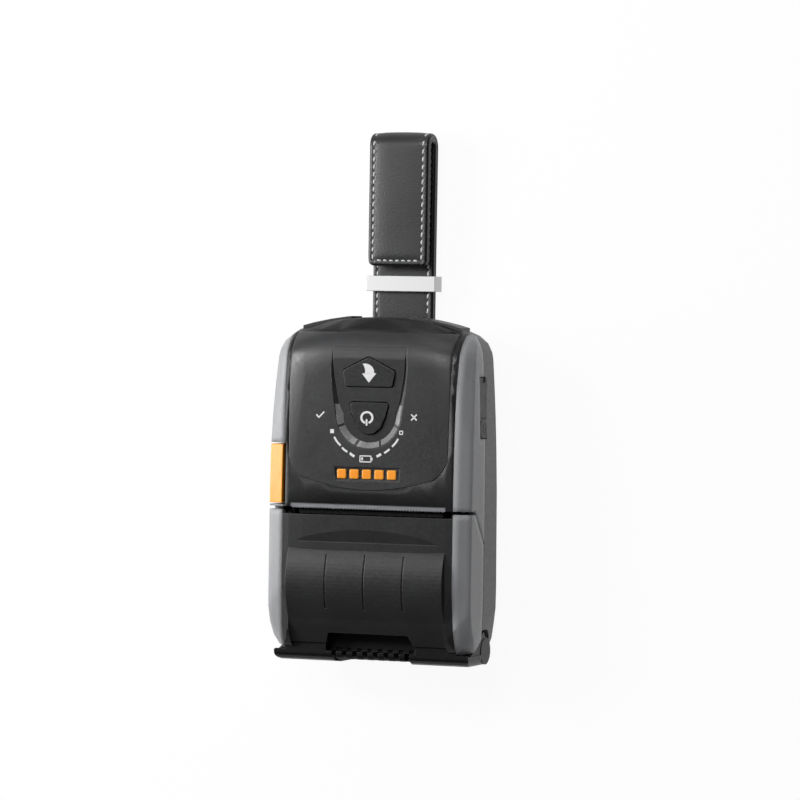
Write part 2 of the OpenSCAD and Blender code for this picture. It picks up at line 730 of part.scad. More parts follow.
module motor_pinion() color(brass)
  gear(small_teeth, gear_x2, gear_x2 + gear_w, motor_y, motor_z, 1, motor_turn + 180 + 180 / small_teeth);
module gear_studs() color(steel) {
  rod_x(1.2, -gear_x1 - 2.4, -plate_x1, latch_y, latch_z);
  rod_x(1.2, plate_x0, gear_x1 + gear_w + 0.2, idler_y, idler_z);
  rod_x(1.2, plate_x0, gear_x2 + gear_w + 0.05, reduction_y, reduction_z);
}
module paper_sensor() color(rubber_black)
  block(-4, 4, head_y + 0.4, head_y + 3, platen_z - 13.5, platen_z - 9.4);

// Boards

module main_board() color(green) difference() {
  block(-board_x, board_x, board_y0, board_y1, board_z, board_z + board_t);
  for (x = [-1, 1]) for (y = [board_y0 + 3, board_y1 - 3]) rod_z(1.2, 0, far, x * (board_x - 3), y);
}
module board_parts() color("#3a3a3e") {
  block(-22, -10, board_y0 + 6, board_y0 + 18, board_z - 1.4, board_z);
  block(2, 10, board_y0 + 8, board_y0 + 16, board_z - 1.1, board_z);
  block(14, 26, board_y0 + 18, board_y0 + 26, board_z - 2.6, board_z);
  block(-24, -12, board_y1 - 10, board_y1 - 4, board_z - 4, board_z);
  for (x = [-6, -2]) rod_z(1.8, board_z - 5, board_z, x, board_y0 + 24);
}
module key_switches() color(steel) for (y = [feed_y, power_y])
  block(-3, 3, y - 3, y + 3, board_z + board_t, board_z + board_t + switch_h);
module input_board() color(green)
  block(pack_w / 2 + 2, port_x - port_t - 2, port_y - 1, port_y + port_l + 1, io_z, io_z + 1.2);
module usb_socket() color(silver) difference() {
  block(port_x - 9.5, port_x - port_t - 0.4, port_y + 7, port_y + 14.4, io_z + 1.2, io_z + 4.6);
  block(port_x - 8.5, far, port_y + 7.5, port_y + 13.9, io_z + 1.7, io_z + 4.1);
}
module charge_jack() color(rubber_black) difference() {
  block(port_x - 9.5, port_x - port_t - 0.4, port_y + 1, port_y + 6.4, io_z + 1.2, io_z + 6.6);
  rod_x(1.8, port_x - 8, far, port_y + 3.7, io_z + 3.9);
}
module battery_contacts() color(brass) for (x = [-5.1, -1.7, 1.7, 5.1])
  block(x - 0.8, x + 0.8, pack_y0 - 2, pack_y0 - 0.15, 6.5, 11.5);
module contact_block() color(rubber_black)
  block(-7.1, 7.1, pack_y0 - 3.6, pack_y0 - 2, 5.7, 12.3);
module case_screws() color(steel) at_screws() {
  translate([0, 0, 0.2]) cylinder(r = 1.9, h = 1.2);
  translate([0, 0, 1.4]) cylinder(r = 1.2, h = 15);
}
module strap_bar() color(steel)
  rod_x(strap_bar_d / 2, -notch_x - 1.6, notch_x + 1.6, strap_y, strap_z);

// Paper bay and cover

module paper_bay() color(charcoal) intersection() {
  difference() {
    rod_x(roll_r + 1, -lug_x0 + 0.1, lug_x0 - 0.1, roll_y, roll_z);
    rod_x(roll_r, -bay_x, bay_x, roll_y, roll_z);
    rod_x(3, -far, far, roll_y, roll_z);
  }
  block(-far, far, -far, far, wall, roll_z - 4);
}
// Side view of the cover over the roll, with a skin that lies t inside
function bulge_curve(t) = concat(
  arc(roll_y + 0.3, bulge_top - bulge_curve_r, bulge_curve_r - t, 64, 118, 18),
  [[hinge_y + 8.4, hinge_z + 23.6 * lift - t], [hinge_y + 6, hinge_z + 22.3 * lift - t],
   [hinge_y + 3.9, hinge_z + 21.1 * lift - t], [hinge_y + 2.1, hinge_z + 20.2 * lift - t]]);
module paper_cover() color(black) {
  // Shell over the roll, with three grooves and a recess at the rear
  difference() {
    slab_x(-bulge_x, bulge_x) polygon(concat([[roll_y + 13, roll_z + 12]], bulge_curve(0),
      [[hinge_y + 2.1, hinge_z + 18.6 * lift], [hinge_y + 12, hinge_z + 12]]));
    slab_x(-bulge_x + cover_wall, bulge_x - cover_wall) polygon(concat([[roll_y + 13 - cover_wall, 0]],
      bulge_curve(cover_wall), [[hinge_y + 2, 0]]));
    for (x = [-15.5, 0, 15.5]) slab_x(x - 0.3, x + 0.3) polygon(concat(
      arc(roll_y + 0.3, bulge_top - bulge_curve_r, bulge_curve_r - 0.4, 68, 110),
      [[roll_y, far]]));
    bar_recess();
  }
  // Flat front part, with a shallow scoop before the bulge
  difference() {
    intersection() {
      body_form();
      block(-band_x, band_x, roll_y + 11.8, cover_y, panel_h - wall - 0.1, far);
    }
    slab_x(-bulge_x + cover_wall, bulge_x - cover_wall) polygon([[roll_y, 0],
      [roll_y, bulge_top - 2 * cover_wall], [roll_y + 13 - cover_wall, panel_h - wall - 0.1],
      [roll_y + 13 - cover_wall, 0]]);
    scoop();
  }
  // Side strips and the walls under the grey bumpers
  difference() {
    intersection() {
      dark_form();
      cover_zone();
    }
    body_form(skin_x);
    block(-bulge_x, bulge_x, -far, far, 0, far);
    block(-band_x, band_x, cover_y, far, 0, far);
    bar_form();
    // Room for the platen gear and the latch
    rod_x(platen_pitch + gear_m + 0.5, gear_x1 - 0.4, gear_x1 + gear_w + 0.3, platen_y, platen_z);
    block(-gear_x1 - 2.3, -gear_x1 + 0.4, platen_y - 3, far, 0, platen_z + 3.8);
  }
}
// A wide shallow trough: its lip is a bow across the cover
module scoop() {
  intersection() {
    translate([0, slot_y - 8, panel_h]) rotate([9.5, 0, 0]) translate([0, 0, 620]) rotate([90, 0, 0])
      cylinder(r = 620, h = 60, center = true, $fn = 720);
    block(-band_x, band_x, roll_y + 15.4, slot_y, 0, far);
  }
}
module cover_bumper_right() color(grey) intersection() {
  bumper();
  cover_zone();
}
module cover_bumper_left() color(grey) mirror([1, 0, 0]) intersection() {
  bumper();
  cover_zone();
}
module cover_frame() color(charcoal) {
  both_sides() difference() {
    block(arm_x0, arm_x1, platen_y - 7, cover_y - 0.4, platen_z - 5, panel_h - wall - 0.1);
    rod_x(3, 0, far, platen_y, platen_z);
  }
  block(-arm_x0, arm_x0, platen_y - 7, platen_y - 5.8, platen_z - 2, panel_h - wall - 0.1);
}
module platen_bushes() color(white) both_sides() difference() {
  rod_x(3, arm_x0, plate_x1, platen_y, platen_z);
  rod_x(shaft_d / 2 + fit, 0, far, platen_y, platen_z);
}
module platen_shaft() color(steel)
  rod_x(shaft_d / 2, -gear_x1 - 2.5, gear_x1 + gear_w + 0.4, platen_y, platen_z);
module platen_roller() color(rubber_black) difference() {
  rod_x(platen_d / 2, -platen_x, platen_x, platen_y, platen_z);
  rod_x(shaft_d / 2, -far, far, platen_y, platen_z);
}

// Hinge bar: the ribbed rear end of the cover, its arms and knuckles

module bar_recess() {
  hull() {
    block(-16, 16, hinge_y + 5.1, hinge_y + 6.1, hinge_z + 14.4 * lift, far);
    block(-18, 18, hinge_y - 1, hinge_y + 1, hinge_z + 14.4 * lift, far);
  }
}
function bar_side() = [[bar_y, hinge_z], [bar_y, hinge_z + 12 * lift], [bar_y + 0.3, hinge_z + 15.6 * lift],
  [bar_y + 1, hinge_z + 17.8 * lift], [bar_y + 2, hinge_z + 19 * lift], [bar_y + 3.1, rim_z],
  [bar_y + 4.1, rim_z]];
// The bar's outline from above, with rounded rear corners
module bar_plan() {
  linear_extrude(far) offset(r = 3) translate([4.4 - half_w, bar_y + 3]) square([body_w - 8.8, 40]);
}
module bar_form() {
  intersection() {
    bar_plan();
    slab_x(-far, far) polygon(concat(bar_side(), [[hinge_y + 2.1, rim_z], [hinge_y + 2.1, hinge_z + 17 * lift],
      [hinge_y + 0.4, hinge_z + 15.6 * lift], [hinge_y + 0.4, hinge_z + 6 * lift], [hinge_y - 1, hinge_z]]));
  }
}
module bar_arms() {
  rod_x(knuckle_r, knuckle_x0, knuckle_x1, hinge_y, hinge_z);
  slab_x(knuckle_x0, knuckle_x1 + 0.1) polygon(concat(bar_side(), [[hinge_y - 0.8, rim_z],
    [hinge_y - 0.8, hinge_z + 19 * lift], [hinge_y - 1.2, hinge_z + 16.4 * lift],
    [hinge_y - 0.2, hinge_z + 13.1 * lift], [hinge_y + 2.2, hinge_z + 9.2 * lift],
    [hinge_y + 4.9, hinge_z + 6.6 * lift], [hinge_y + 7.4, hinge_z + 2.2],
    [hinge_y + knuckle_r, hinge_z]]));
}
module hinge_bar() color(black) difference() {
  union() {
    difference() {
      bar_form();
      // Clear of the hinge lugs and of the tips of the grey bumpers
      both_sides() {
        block(lug_x0 - 0.4, knuckle_x0, -far, far, 0, hinge_z + barrel_r + 1.2);
        block(knuckle_x0, far, hinge_y - barrel_r - 1.2, far, 0, hinge_z + barrel_r + 1.2);
        block(band_x + 0.3, far, hinge_y - 1.1, far, hinge_z + barrel_r, far);
      }
    }
    // Inner wall behind the roll, and the barrel
    slab_x(-lug_x0 + 0.4, lug_x0 - 0.4) polygon([[hinge_y + 0.4, hinge_z + 17 * lift], [hinge_y + 2.1, rim_z],
      [roll_y - 10, rim_z], [roll_y - 10, hinge_z + 6], [hinge_y + 2, hinge_z + 3.4], [hinge_y, hinge_z],
      [bar_y + 1, hinge_z], [bar_y + 0.6, hinge_z + 7]]);
    rod_x(barrel_r, -lug_x0 + 0.4, lug_x0 - 0.4, hinge_y, hinge_z);
    both_sides() intersection() {
      bar_arms();
      bar_plan();
    }
  }
  rod_x(roll_r + 0.4, -bulge_x, bulge_x, roll_y, roll_z);
  slab_x(-far, far) polygon(concat([[roll_y, 0]], bulge_curve(0), [[hinge_y + 2.1, hinge_z + 18.6 * lift],
    [hinge_y + 12, hinge_z + 12]]));
  both_sides() {
    rod_x(hinge_pin_d / 2, lug_x0 - 6, knuckle_x1 - 1.2, hinge_y, hinge_z);
    rod_x(knuckle_r - 0.3, knuckle_x1 - 1.2, far, hinge_y, hinge_z);
  }
  bar_recess();
  // Gaps between the ribs
  for (i = [0:rib_count]) translate([(i - rib_count / 2) * 4.2, 0, 0])
    block(-0.95, 0.95, -far, hinge_y, hinge_z + 13.6 * lift, far);
  block(-14.5, 14.5, -far, bar_y + 1.4, hinge_z + 1, far);
  block(-14.5, 14.5, -far, bar_y + 1.9, hinge_z + 1, hinge_z + 13.6 * lift);
}
module hinge_pins() color(steel) {
  rod_x(hinge_pin_d / 2, -knuckle_x1 + 1.2, -lug_x0 + 6, hinge_y, hinge_z);
  rod_x(hinge_pin_d / 2, lug_x0 - 6, knuckle_x1 - 1.2, hinge_y, hinge_z);
}
module hinge_caps() color(charcoal) both_sides()
  rod_x(knuckle_r - 0.3, knuckle_x1 - 1.2, knuckle_x1 + 0.3, hinge_y, hinge_z);

// Latch

latch_y = platen_y + 4.4;
latch_z = platen_z - 10;
// A point near the platen: r away from the hinge axis, t along the way it swings open
function swing_point(r, t) = [platen_y + (r * swing_y - t * swing_z) / swing_r,
  platen_z + (r * swing_z + t * swing_y) / swing_r];
module latch_lever() color(steel) difference() {
  slab_x(-gear_x1 - 2, -gear_x1) polygon([[latch_y - 2.2, latch_z - 1], [latch_y, latch_z - 2.4],
    [latch_y + 2.4, latch_z], swing_point(5, 0), swing_point(3.8, 2.2), swing_point(shaft_d / 2 + 0.25, 2.6),
    swing_point(shaft_d / 2 + 0.25, 1.4), swing_point(3.2, 0)]);
  rod_x(1.2 + fit, -far, far, latch_y, latch_z);
}

// Battery

module battery_pack() color(charcoal)
  round_box(-pack_w / 2, pack_w / 2, pack_y0, pack_y1, pack_z, pack_z + pack_h, 2);
module battery_latch() color(black) {
  block(-5.6, 5.6, pack_y0 - 7, pack_y0 - 1.8, 0.2, wall - 0.2);
  block(-4, 4, pack_y0 - 1.8, pack_y0 - 0.15, 0.6, wall - 0.2);
}

// Strap

module strap_back() color(leather_black) difference() {
  union() {
    rod_x(strap_t / 2 + 1.7, -strap_x, strap_x, strap_y, strap_z);
    block(-strap_x, strap_x, strap_y, fold_y, strap_back_z, strap_back_z + strap_t);
    intersection() {
      difference() {
        rod_x(loop_h / 2, -strap_x, strap_x, fold_y, fold_z);
        rod_x(loop_h / 2 - flap_t, -far, far, fold_y, fold_z);
      }
      block(-far, far, fold_y, far * 2, 0, far);
    }
  }
  rod_x(strap_bar_d / 2 + fit, -far, far, strap_y, strap_z);
}
module strap_flap() color(leather_black) difference() {
  round_flap = 2.4;
  block(-strap_x + 0.4, strap_x - 0.4, flap_y, fold_y, flap_z0, flap_z1);
  both_sides() difference() {
    block(strap_x - 0.4 - round_flap, far, flap_y - 1, flap_y + round_flap, 0, far);
    rod_z(round_flap, 0, far, strap_x - 0.4 - round_flap, flap_y + round_flap);
  }
}
module strap_keeper() color(silver) difference() {
  block(-strap_x - 1.5, strap_x + 1.5, keeper_y - keeper_l / 2, keeper_y + keeper_l / 2,
    strap_back_z - 1.2, strap_back_z + strap_t + 2.4);
  block(-strap_x - 0.2, strap_x + 0.2, -far, far * 2, strap_back_z - 0.2, strap_back_z + strap_t + 0.2);
}
module snap_stud() color(brass) {
  rod_z(4, strap_back_z + strap_t, strap_back_z + strap_t + 0.5, 0, snap_y);
  rod_z(2, strap_back_z + strap_t + 0.5, flap_z0 - 0.7, 0, snap_y);
}
module snap_socket() color(brass) difference() {
  rod_z(4, flap_z0 - 1.3, flap_z0, 0, snap_y);
  rod_z(2.4, flap_z0 - 2, flap_z0 - 0.5, 0, snap_y);
}

bottom_shell();
top_shell();
side_bumper_left();
side_bumper_right();
panel_plate();
button_bezel();
light_guide();
badge_inlay();
port_anchor();
port_cover();
tear_bar();
mech_frame();
print_head();
head_springs();
stepper_motor();
motor_shaft();
motor_pinion();
reduction_gear();
idler_gear();
gear_studs();
main_board();
board_parts();
key_switches();
input_board();
usb_socket();
charge_jack();
paper_sensor();
battery_contacts();
contact_block();
case_screws();
strap_bar();
paper_bay();
paper_cover();
cover_frame();
cover_bumper_left();
cover_bumper_right();
hinge_bar();
hinge_pins();
hinge_caps();
platen_shaft();
platen_roller();
platen_gear();
platen_bushes();
feed_button();
power_button();
release_button();
release_spring();
latch_lever();
battery_pack();
battery_latch();
strap_back();
strap_flap();
strap_keeper();
snap_stud();
snap_socket();
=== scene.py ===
"""Portable receipt printer: its surfaces, leather strap and printed marks, with a plain studio."""

import json
import math
import random

import bmesh
import bpy
from mathutils import Matrix, Vector
from mathutils.bvhtree import BVHTree


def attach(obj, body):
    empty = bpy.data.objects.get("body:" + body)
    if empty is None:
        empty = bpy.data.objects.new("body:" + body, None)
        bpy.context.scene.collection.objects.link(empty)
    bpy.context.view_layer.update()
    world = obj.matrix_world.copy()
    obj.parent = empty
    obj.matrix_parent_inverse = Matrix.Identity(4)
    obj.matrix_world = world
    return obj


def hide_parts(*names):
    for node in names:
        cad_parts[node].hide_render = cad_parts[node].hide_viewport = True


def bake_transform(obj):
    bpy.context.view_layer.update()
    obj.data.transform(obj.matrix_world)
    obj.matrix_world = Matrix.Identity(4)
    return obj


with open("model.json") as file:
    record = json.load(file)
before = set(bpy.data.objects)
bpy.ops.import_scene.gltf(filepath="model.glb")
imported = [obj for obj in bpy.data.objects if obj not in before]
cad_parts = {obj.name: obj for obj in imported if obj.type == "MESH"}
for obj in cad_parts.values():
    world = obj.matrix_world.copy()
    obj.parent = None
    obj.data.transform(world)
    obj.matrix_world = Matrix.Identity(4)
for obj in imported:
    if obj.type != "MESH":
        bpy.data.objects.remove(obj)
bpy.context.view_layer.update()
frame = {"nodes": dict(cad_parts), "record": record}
nodes = frame["nodes"]
rng = random.Random(7)
MM = 0.001


# Material builder

BEVEL_SAMPLES = 6
SHARP_TURN = 0.86           # the cosine between the true and the rounded normal on a sharp edge
NOISE_LOW, NOISE_HIGH = 0.3, 0.7        # most of a noise texture lies between these


class Look:
    """A node material, built a step at a time. Lengths are in metres."""

    def __init__(self, name):
        self.material = bpy.data.materials.new(name)
        self.material.use_nodes = True
        self.tree = self.material.node_tree
        self.tree.nodes.clear()
        output = self.node("ShaderNodeOutputMaterial")
        self.shader = self.node("ShaderNodeBsdfPrincipled")
        self.link(self.shader.outputs[0], output.inputs[0])
        self.coord = self.node("ShaderNodeTexCoord").outputs["Object"]
        self.normal = None

    def node(self, kind, **values):
        """A new node, with each value set on the socket or the property of that name."""
        node = self.tree.nodes.new(kind)
        for key, value in values.items():
            if key in node.inputs:
                node.inputs[key].default_value = value
            else:
                setattr(node, key, value)
        return node

    def link(self, source, target):
        self.tree.links.new(source, target)

    def set(self, **values):
        for key, value in values.items():
            self.shader.inputs[key.replace("_", " ")].default_value = value

    def noise(self, scale, detail=2.0, rough=0.5, stretch=None):
        source = self.coord
        if stretch:
            mapping = self.node("ShaderNodeMapping", Scale=stretch)
            self.link(source, mapping.inputs["Vector"])
            source = mapping.outputs[0]
        noise = self.node("ShaderNodeTexNoise", Scale=scale, Detail=detail, Roughness=rough)
        self.link(source, noise.inputs["Vector"])
        return noise.outputs["Fac"]

    def cells(self, scale, smoothness):
        cells = self.node("ShaderNodeTexVoronoi", Scale=scale, feature="SMOOTH_F1")
        cells.inputs["Smoothness"].default_value = smoothness
        self.link(self.coord, cells.inputs["Vector"])
        return cells.outputs["Distance"]

    def span(self, value, low, high, to_low, to_high):
        """Maps low to high onto to_low to to_high."""
        node = self.node("ShaderNodeMapRange")
        ends = {"From Min": low, "From Max": high, "To Min": to_low, "To Max": to_high}
        for socket, end in ends.items():
            node.inputs[socket].default_value = end
        self.link(value, node.inputs["Value"])
        return node.outputs[0]

    def ramp(self, value, low, dark, high, light):
        node = self.node("ShaderNodeValToRGB")
        for stop, at, colour in zip(node.color_ramp.elements, (low, high), (dark, light)):
            stop.position = at
            stop.color = (*colour, 1)
        self.link(value, node.inputs[0])
        return node.outputs[0]

    def mottle(self, scale, detail, dark, light):
        """A colour that wanders between two colours."""
        return self.ramp(self.noise(scale, detail), NOISE_LOW, dark, NOISE_HIGH, light)

    def mix(self, share, first, second):
        """A blend of two colours, each a socket or three numbers."""
        node = self.node("ShaderNodeMix", data_type="RGBA")
        sockets = [socket for socket in node.inputs if socket.type == "RGBA"]
        for socket, value in zip(sockets, (first, second)):
            if isinstance(value, tuple):
                socket.default_value = (*value, 1)
            else:
                self.link(value, socket)
        self.link(share, node.inputs[0])
        return [socket for socket in node.outputs if socket.type == "RGBA"][0]

    def edges(self, radius):
        """A mask of the sharp edges, from the turn between the true normal and a rounded one."""
        bevel = self.node("ShaderNodeBevel", samples=BEVEL_SAMPLES, Radius=radius)
        geometry = self.node("ShaderNodeNewGeometry")
        dot = self.node("ShaderNodeVectorMath", operation="DOT_PRODUCT")
        self.link(bevel.outputs[0], dot.inputs[0])
        self.link(geometry.outputs["Normal"], dot.inputs[1])
        return self.span(dot.outputs["Value"], 1.0, SHARP_TURN, 0.0, 1.0)

    def round(self, radius):
        """Rounds the edges in the shading."""
        self.normal = self.node("ShaderNodeBevel", samples=BEVEL_SAMPLES, Radius=radius).outputs[0]

    def bump(self, height, distance, strength=1.0):
        node = self.node("ShaderNodeBump", Strength=strength, Distance=distance)
        self.link(height, node.inputs["Height"])
        if self.normal is not None:
            self.link(self.normal, node.inputs["Normal"])
        self.normal = node.outputs[0]

    def colour(self, value):
        self.link(value, self.shader.inputs["Base Color"])

    def rough(self, value):
        self.link(value, self.shader.inputs["Roughness"])

    def rough_noise(self, scale, detail, low, high):
        """A roughness that wanders between two values."""
        self.rough(self.span(self.noise(scale, detail), NOISE_LOW, NOISE_HIGH, low, high))

    def done(self):
        self.link(self.normal, self.shader.inputs["Normal"])
        return self.material


# Kinds of material

def grey(value, tint=0.0):
    """A grey, tinted a little towards blue."""
    return (value * (1 - tint), value * (1 - tint * 0.5), value * (1 + tint))


def plastic(name, dark, light, rough, grain=0.00002, grain_scale=2600, edge=0.00035, shine=0.5):
    """Moulded plastic with a fine spark-eroded grain, a faint mottle, and sharp edges painted lighter:
    partly rub wear, partly a painted highlight.
    """
    look = Look(name)
    look.round(edge)
    # Sharp edges painted lighter in colour: partly rub wear, partly a painted highlight.
    rubbed_and_highlit = tuple(min(1, part * 1.5 + 0.012) for part in light)
    edge_wear_and_highlight = look.span(look.edges(edge * 1.3), 0, 1, 0, 0.55)
    look.colour(look.mix(edge_wear_and_highlight, look.mottle(60, 3, dark, light), rubbed_and_highlit))
    look.rough_noise(900, 3, rough - 0.05, rough + 0.05)
    look.bump(look.noise(grain_scale, 2, 0.6), grain)
    look.bump(look.noise(320), grain * 0.8)
    look.set(Specular_IOR_Level=shine)
    return look.done()


def milky(name):
    """The cloudy plastic of a light guide."""
    look = Look(name)
    look.round(0.0002)
    look.colour(look.mottle(300, 2, grey(0.2), grey(0.27)))
    look.rough_noise(1500, 2, 0.18, 0.3)
    look.bump(look.noise(1400), 0.00001)
    look.set(Transmission_Weight=0.12, Coat_Weight=0.3)
    return look.done()


def rubber(name, value):
    look = Look(name)
    look.round(0.0003)
    look.colour(look.mottle(200, 3, grey(value * 0.85), grey(value * 1.15)))
    look.rough_noise(700, 2, 0.55, 0.69)
    look.bump(look.noise(3000), 0.00003)
    return look.done()


def metal(name, colour, rough, stretch, depth=0.000008, edge=0.0002):
    """Metal with a brushed or rolled grain along one direction."""
    look = Look(name)
    look.round(edge)
    streaks = look.noise(3600, 3, 0.6, stretch)
    look.colour(look.ramp(streaks, 0.25, tuple(part * 0.94 for part in colour), 0.75, colour))
    look.rough(look.span(streaks, NOISE_LOW, NOISE_HIGH, rough - 0.03, rough + 0.04))
    look.bump(streaks, depth)
    look.set(Metallic=1.0)
    return look.done()


def board(name):
    """A green circuit board with tracks under its lacquer."""
    look = Look(name)
    look.round(0.0001)
    tracks = look.node("ShaderNodeTexBrick", Scale=420.0)
    tracks.inputs["Mortar Size"].default_value = 0.03
    look.link(look.coord, tracks.inputs["Vector"])
    share = look.span(tracks.outputs["Fac"], 0, 1, 0, 0.7)
    look.colour(look.mix(share, (0.012, 0.085, 0.032), (0.03, 0.19, 0.07)))
    look.rough_noise(500, 2, 0.28, 0.4)
    look.bump(tracks.outputs["Fac"], 0.00003)
    return look.done()


def leather(name, low, high):
    """Pebbled leather: small cells, finer pores and a soft rub on the high parts."""
    look = Look(name)
    look.round(0.0005)
    cells = look.cells(1500, 0.5)
    broad = look.noise(55, 3)
    base = look.ramp(broad, NOISE_LOW, low, NOISE_HIGH, high)
    rub = look.span(cells, 0.1, 0.6, 0.35, 0.0)
    look.colour(look.mix(rub, base, tuple(part * 1.5 for part in high)))
    look.rough(look.span(cells, 0.1, 0.7, 0.34, 0.5))
    look.bump(cells, 0.00007, 0.5)
    look.bump(look.noise(3200, 3), 0.00002, 0.5)
    look.bump(broad, 0.0004, 0.25)
    return look.done()


def edge_paint(name):
    """The black paint that seals a leather edge."""
    look = Look(name)
    look.round(0.0003)
    look.colour(look.mottle(400, 2, grey(0.004), grey(0.008)))
    look.rough_noise(600, 2, 0.2, 0.34)
    look.bump(look.noise(900), 0.00003)
    look.set(Specular_IOR_Level=0.4)
    return look.done()


def thread(name):
    """Twisted sewing thread, lighter on its plies and darker in the grooves of the twist as painted shade.
    """
    look = Look(name)
    twist = look.node("ShaderNodeTexWave", Scale=1500.0, bands_direction="DIAGONAL")
    look.link(look.coord, twist.inputs["Vector"])
    # The colour follows the twist's bump: raised plies lighter, grooves darker as painted shade.
    look.colour(look.ramp(twist.outputs["Fac"], 0.2, grey(0.42), 0.8, grey(0.68)))
    look.rough_noise(2500, 2, 0.55, 0.7)
    look.bump(twist.outputs["Fac"], 0.00003)
    return look.done()


def ink(name, value):
    """Printed ink."""
    look = Look(name)
    look.colour(look.mottle(1400, 3, grey(value * 0.93), grey(value)))
    look.rough_noise(900, 2, 0.4, 0.55)
    look.bump(look.noise(2600), 0.000008)
    return look.done()


# The printer's own materials

black_plastic = plastic("black_plastic", grey(0.008, 0.02), grey(0.012, 0.03), 0.36, edge=0.0009, shine=0.35)
top_plastic = plastic("top_plastic", grey(0.008, 0.02), grey(0.012, 0.03), 0.37, edge=0.0021, shine=0.35)
# A darker copy of the black plastic for the hinge bar and its caps: the darker colour is painted shade.
shaded_bar_plastic = plastic("shaded_bar_plastic", grey(0.006, 0.02), grey(0.009, 0.03), 0.4, edge=0.0004, shine=0.2)
panel_plastic = plastic("panel_plastic", grey(0.02, 0.02), grey(0.028, 0.03), 0.4, 0.000024, 2200)
cover_plastic = plastic("cover_plastic", grey(0.014, 0.03), grey(0.02, 0.03), 0.39, edge=0.0003, shine=0.45)
shell_plastic = plastic("shell_plastic", grey(0.02, 0.03), grey(0.028, 0.04), 0.46, shine=0.35)
grey_plastic = plastic("grey_plastic", grey(0.24, 0.02), grey(0.27, 0.02), 0.45, edge=0.0035)
orange_plastic = plastic("orange_plastic", (0.88, 0.27, 0.012), (0.95, 0.33, 0.02), 0.38, edge=0.0009)
button_plastic = plastic("button_plastic", grey(0.016, 0.02), grey(0.022, 0.03), 0.34, edge=0.0005)
white_plastic = plastic("white_plastic", grey(0.62), grey(0.7), 0.45, edge=0.00015)
inner_plastic = plastic("inner_plastic", grey(0.03), grey(0.042), 0.5)
head_black = plastic("head_black", grey(0.006), grey(0.01), 0.3)

steel = metal("steel", (0.56, 0.57, 0.59), 0.32, (0.04, 1, 1))
bright_metal = metal("bright_metal", (0.86, 0.86, 0.88), 0.36, (0.03, 1, 1), 0.000003)
satin_metal = metal("satin_metal", (0.585, 0.585, 0.59), 0.55, (0.03, 1, 1), 0.000003, edge=0.0004)
brass = metal("brass", (0.78, 0.57, 0.25), 0.3, (1, 1, 0.1))

port_rubber = rubber("port_rubber", 0.1)
black_rubber = rubber("black_rubber", 0.02)
milky_plastic = milky("milky_plastic")
green_board = board("green_board")
strap_leather = leather("strap_leather", grey(0.016, 0.02), grey(0.026, 0.03))
edge_black = edge_paint("edge_black")
grey_thread = thread("grey_thread")
white_ink = ink("white_ink", 0.72)

LOOKS = {
    "bottom_shell": shell_plastic, "top_shell": top_plastic, "panel_plate": panel_plastic,
    "side_bumper_left": grey_plastic, "side_bumper_right": grey_plastic,
    "cover_bumper_left": grey_plastic, "cover_bumper_right": grey_plastic,
    "button_bezel": panel_plastic, "light_guide": milky_plastic, "badge_inlay": orange_plastic,
    "port_anchor": port_rubber, "port_cover": port_rubber, "tear_bar": steel,
    "mech_frame": inner_plastic, "print_head": head_black, "head_springs": steel,
    "stepper_motor": steel, "motor_shaft": steel, "motor_pinion": brass,
    "reduction_gear": white_plastic, "idler_gear": white_plastic, "gear_studs": steel,
    "main_board": green_board, "board_parts": inner_plastic, "key_switches": steel,
    "input_board": green_board, "usb_socket": bright_metal, "charge_jack": inner_plastic,
    "paper_sensor": inner_plastic, "battery_contacts": brass, "contact_block": inner_plastic,
    "case_screws": steel, "strap_bar": steel, "paper_bay": inner_plastic,
    "paper_cover": cover_plastic, "cover_frame": inner_plastic, "hinge_bar": shaded_bar_plastic,
    "hinge_pins": steel, "hinge_caps": shaded_bar_plastic, "platen_shaft": steel,
    "platen_roller": black_rubber, "platen_gear": white_plastic, "platen_bushes": white_plastic,
    "feed_button": button_plastic, "power_button": button_plastic,
    "release_button": orange_plastic, "release_spring": steel, "latch_lever": steel,
    "battery_pack": inner_plastic, "battery_latch": black_plastic,
    "strap_back": strap_leather, "strap_flap": strap_leather, "strap_keeper": satin_metal,
    "snap_stud": brass, "snap_socket": brass,
}
for name, obj in nodes.items():
    obj.data.materials.clear()
    obj.data.materials.append(LOOKS[name])


# Camera, fitted to the outline in the photograph

IMAGE_SIZE = 800            # pixels of the square frame
SENSOR = 36
FOCAL = 4520                # focal length in pixels
CAMERA_DISTANCE = 1.7
YAW, PITCH, ROLL = (math.radians(angle) for angle in (21.5, 1.24, 0.94))
VIEW_BACK = Vector((math.sin(YAW) * math.cos(PITCH), math.sin(PITCH), math.cos(YAW) * math.cos(PITCH)))
LEVEL = Vector((math.cos(YAW), 0, -math.sin(YAW)))
LEVEL_UP = VIEW_BACK.cross(LEVEL)
VIEW_RIGHT = math.cos(ROLL) * LEVEL + math.sin(ROLL) * LEVEL_UP
VIEW_UP = -math.sin(ROLL) * LEVEL + math.cos(ROLL) * LEVEL_UP
TARGET = Vector((4.14, 33.94, 18.5)) * MM
CAMERA_AT = TARGET + VIEW_BACK * CAMERA_DISTANCE


def place_camera():
    data = bpy.data.cameras.new("camera")
    data.sensor_width = SENSOR
    data.lens = FOCAL / IMAGE_SIZE * SENSOR
    data.clip_start = 0.1
    data.clip_end = 20
    camera = bpy.data.objects.new("camera", data)
    turn = Matrix((VIEW_RIGHT, VIEW_UP, VIEW_BACK)).transposed().to_4x4()
    camera.matrix_world = Matrix.Translation(CAMERA_AT) @ turn
    bpy.context.scene.collection.objects.link(camera)
    bpy.context.scene.camera = camera


# Meshes

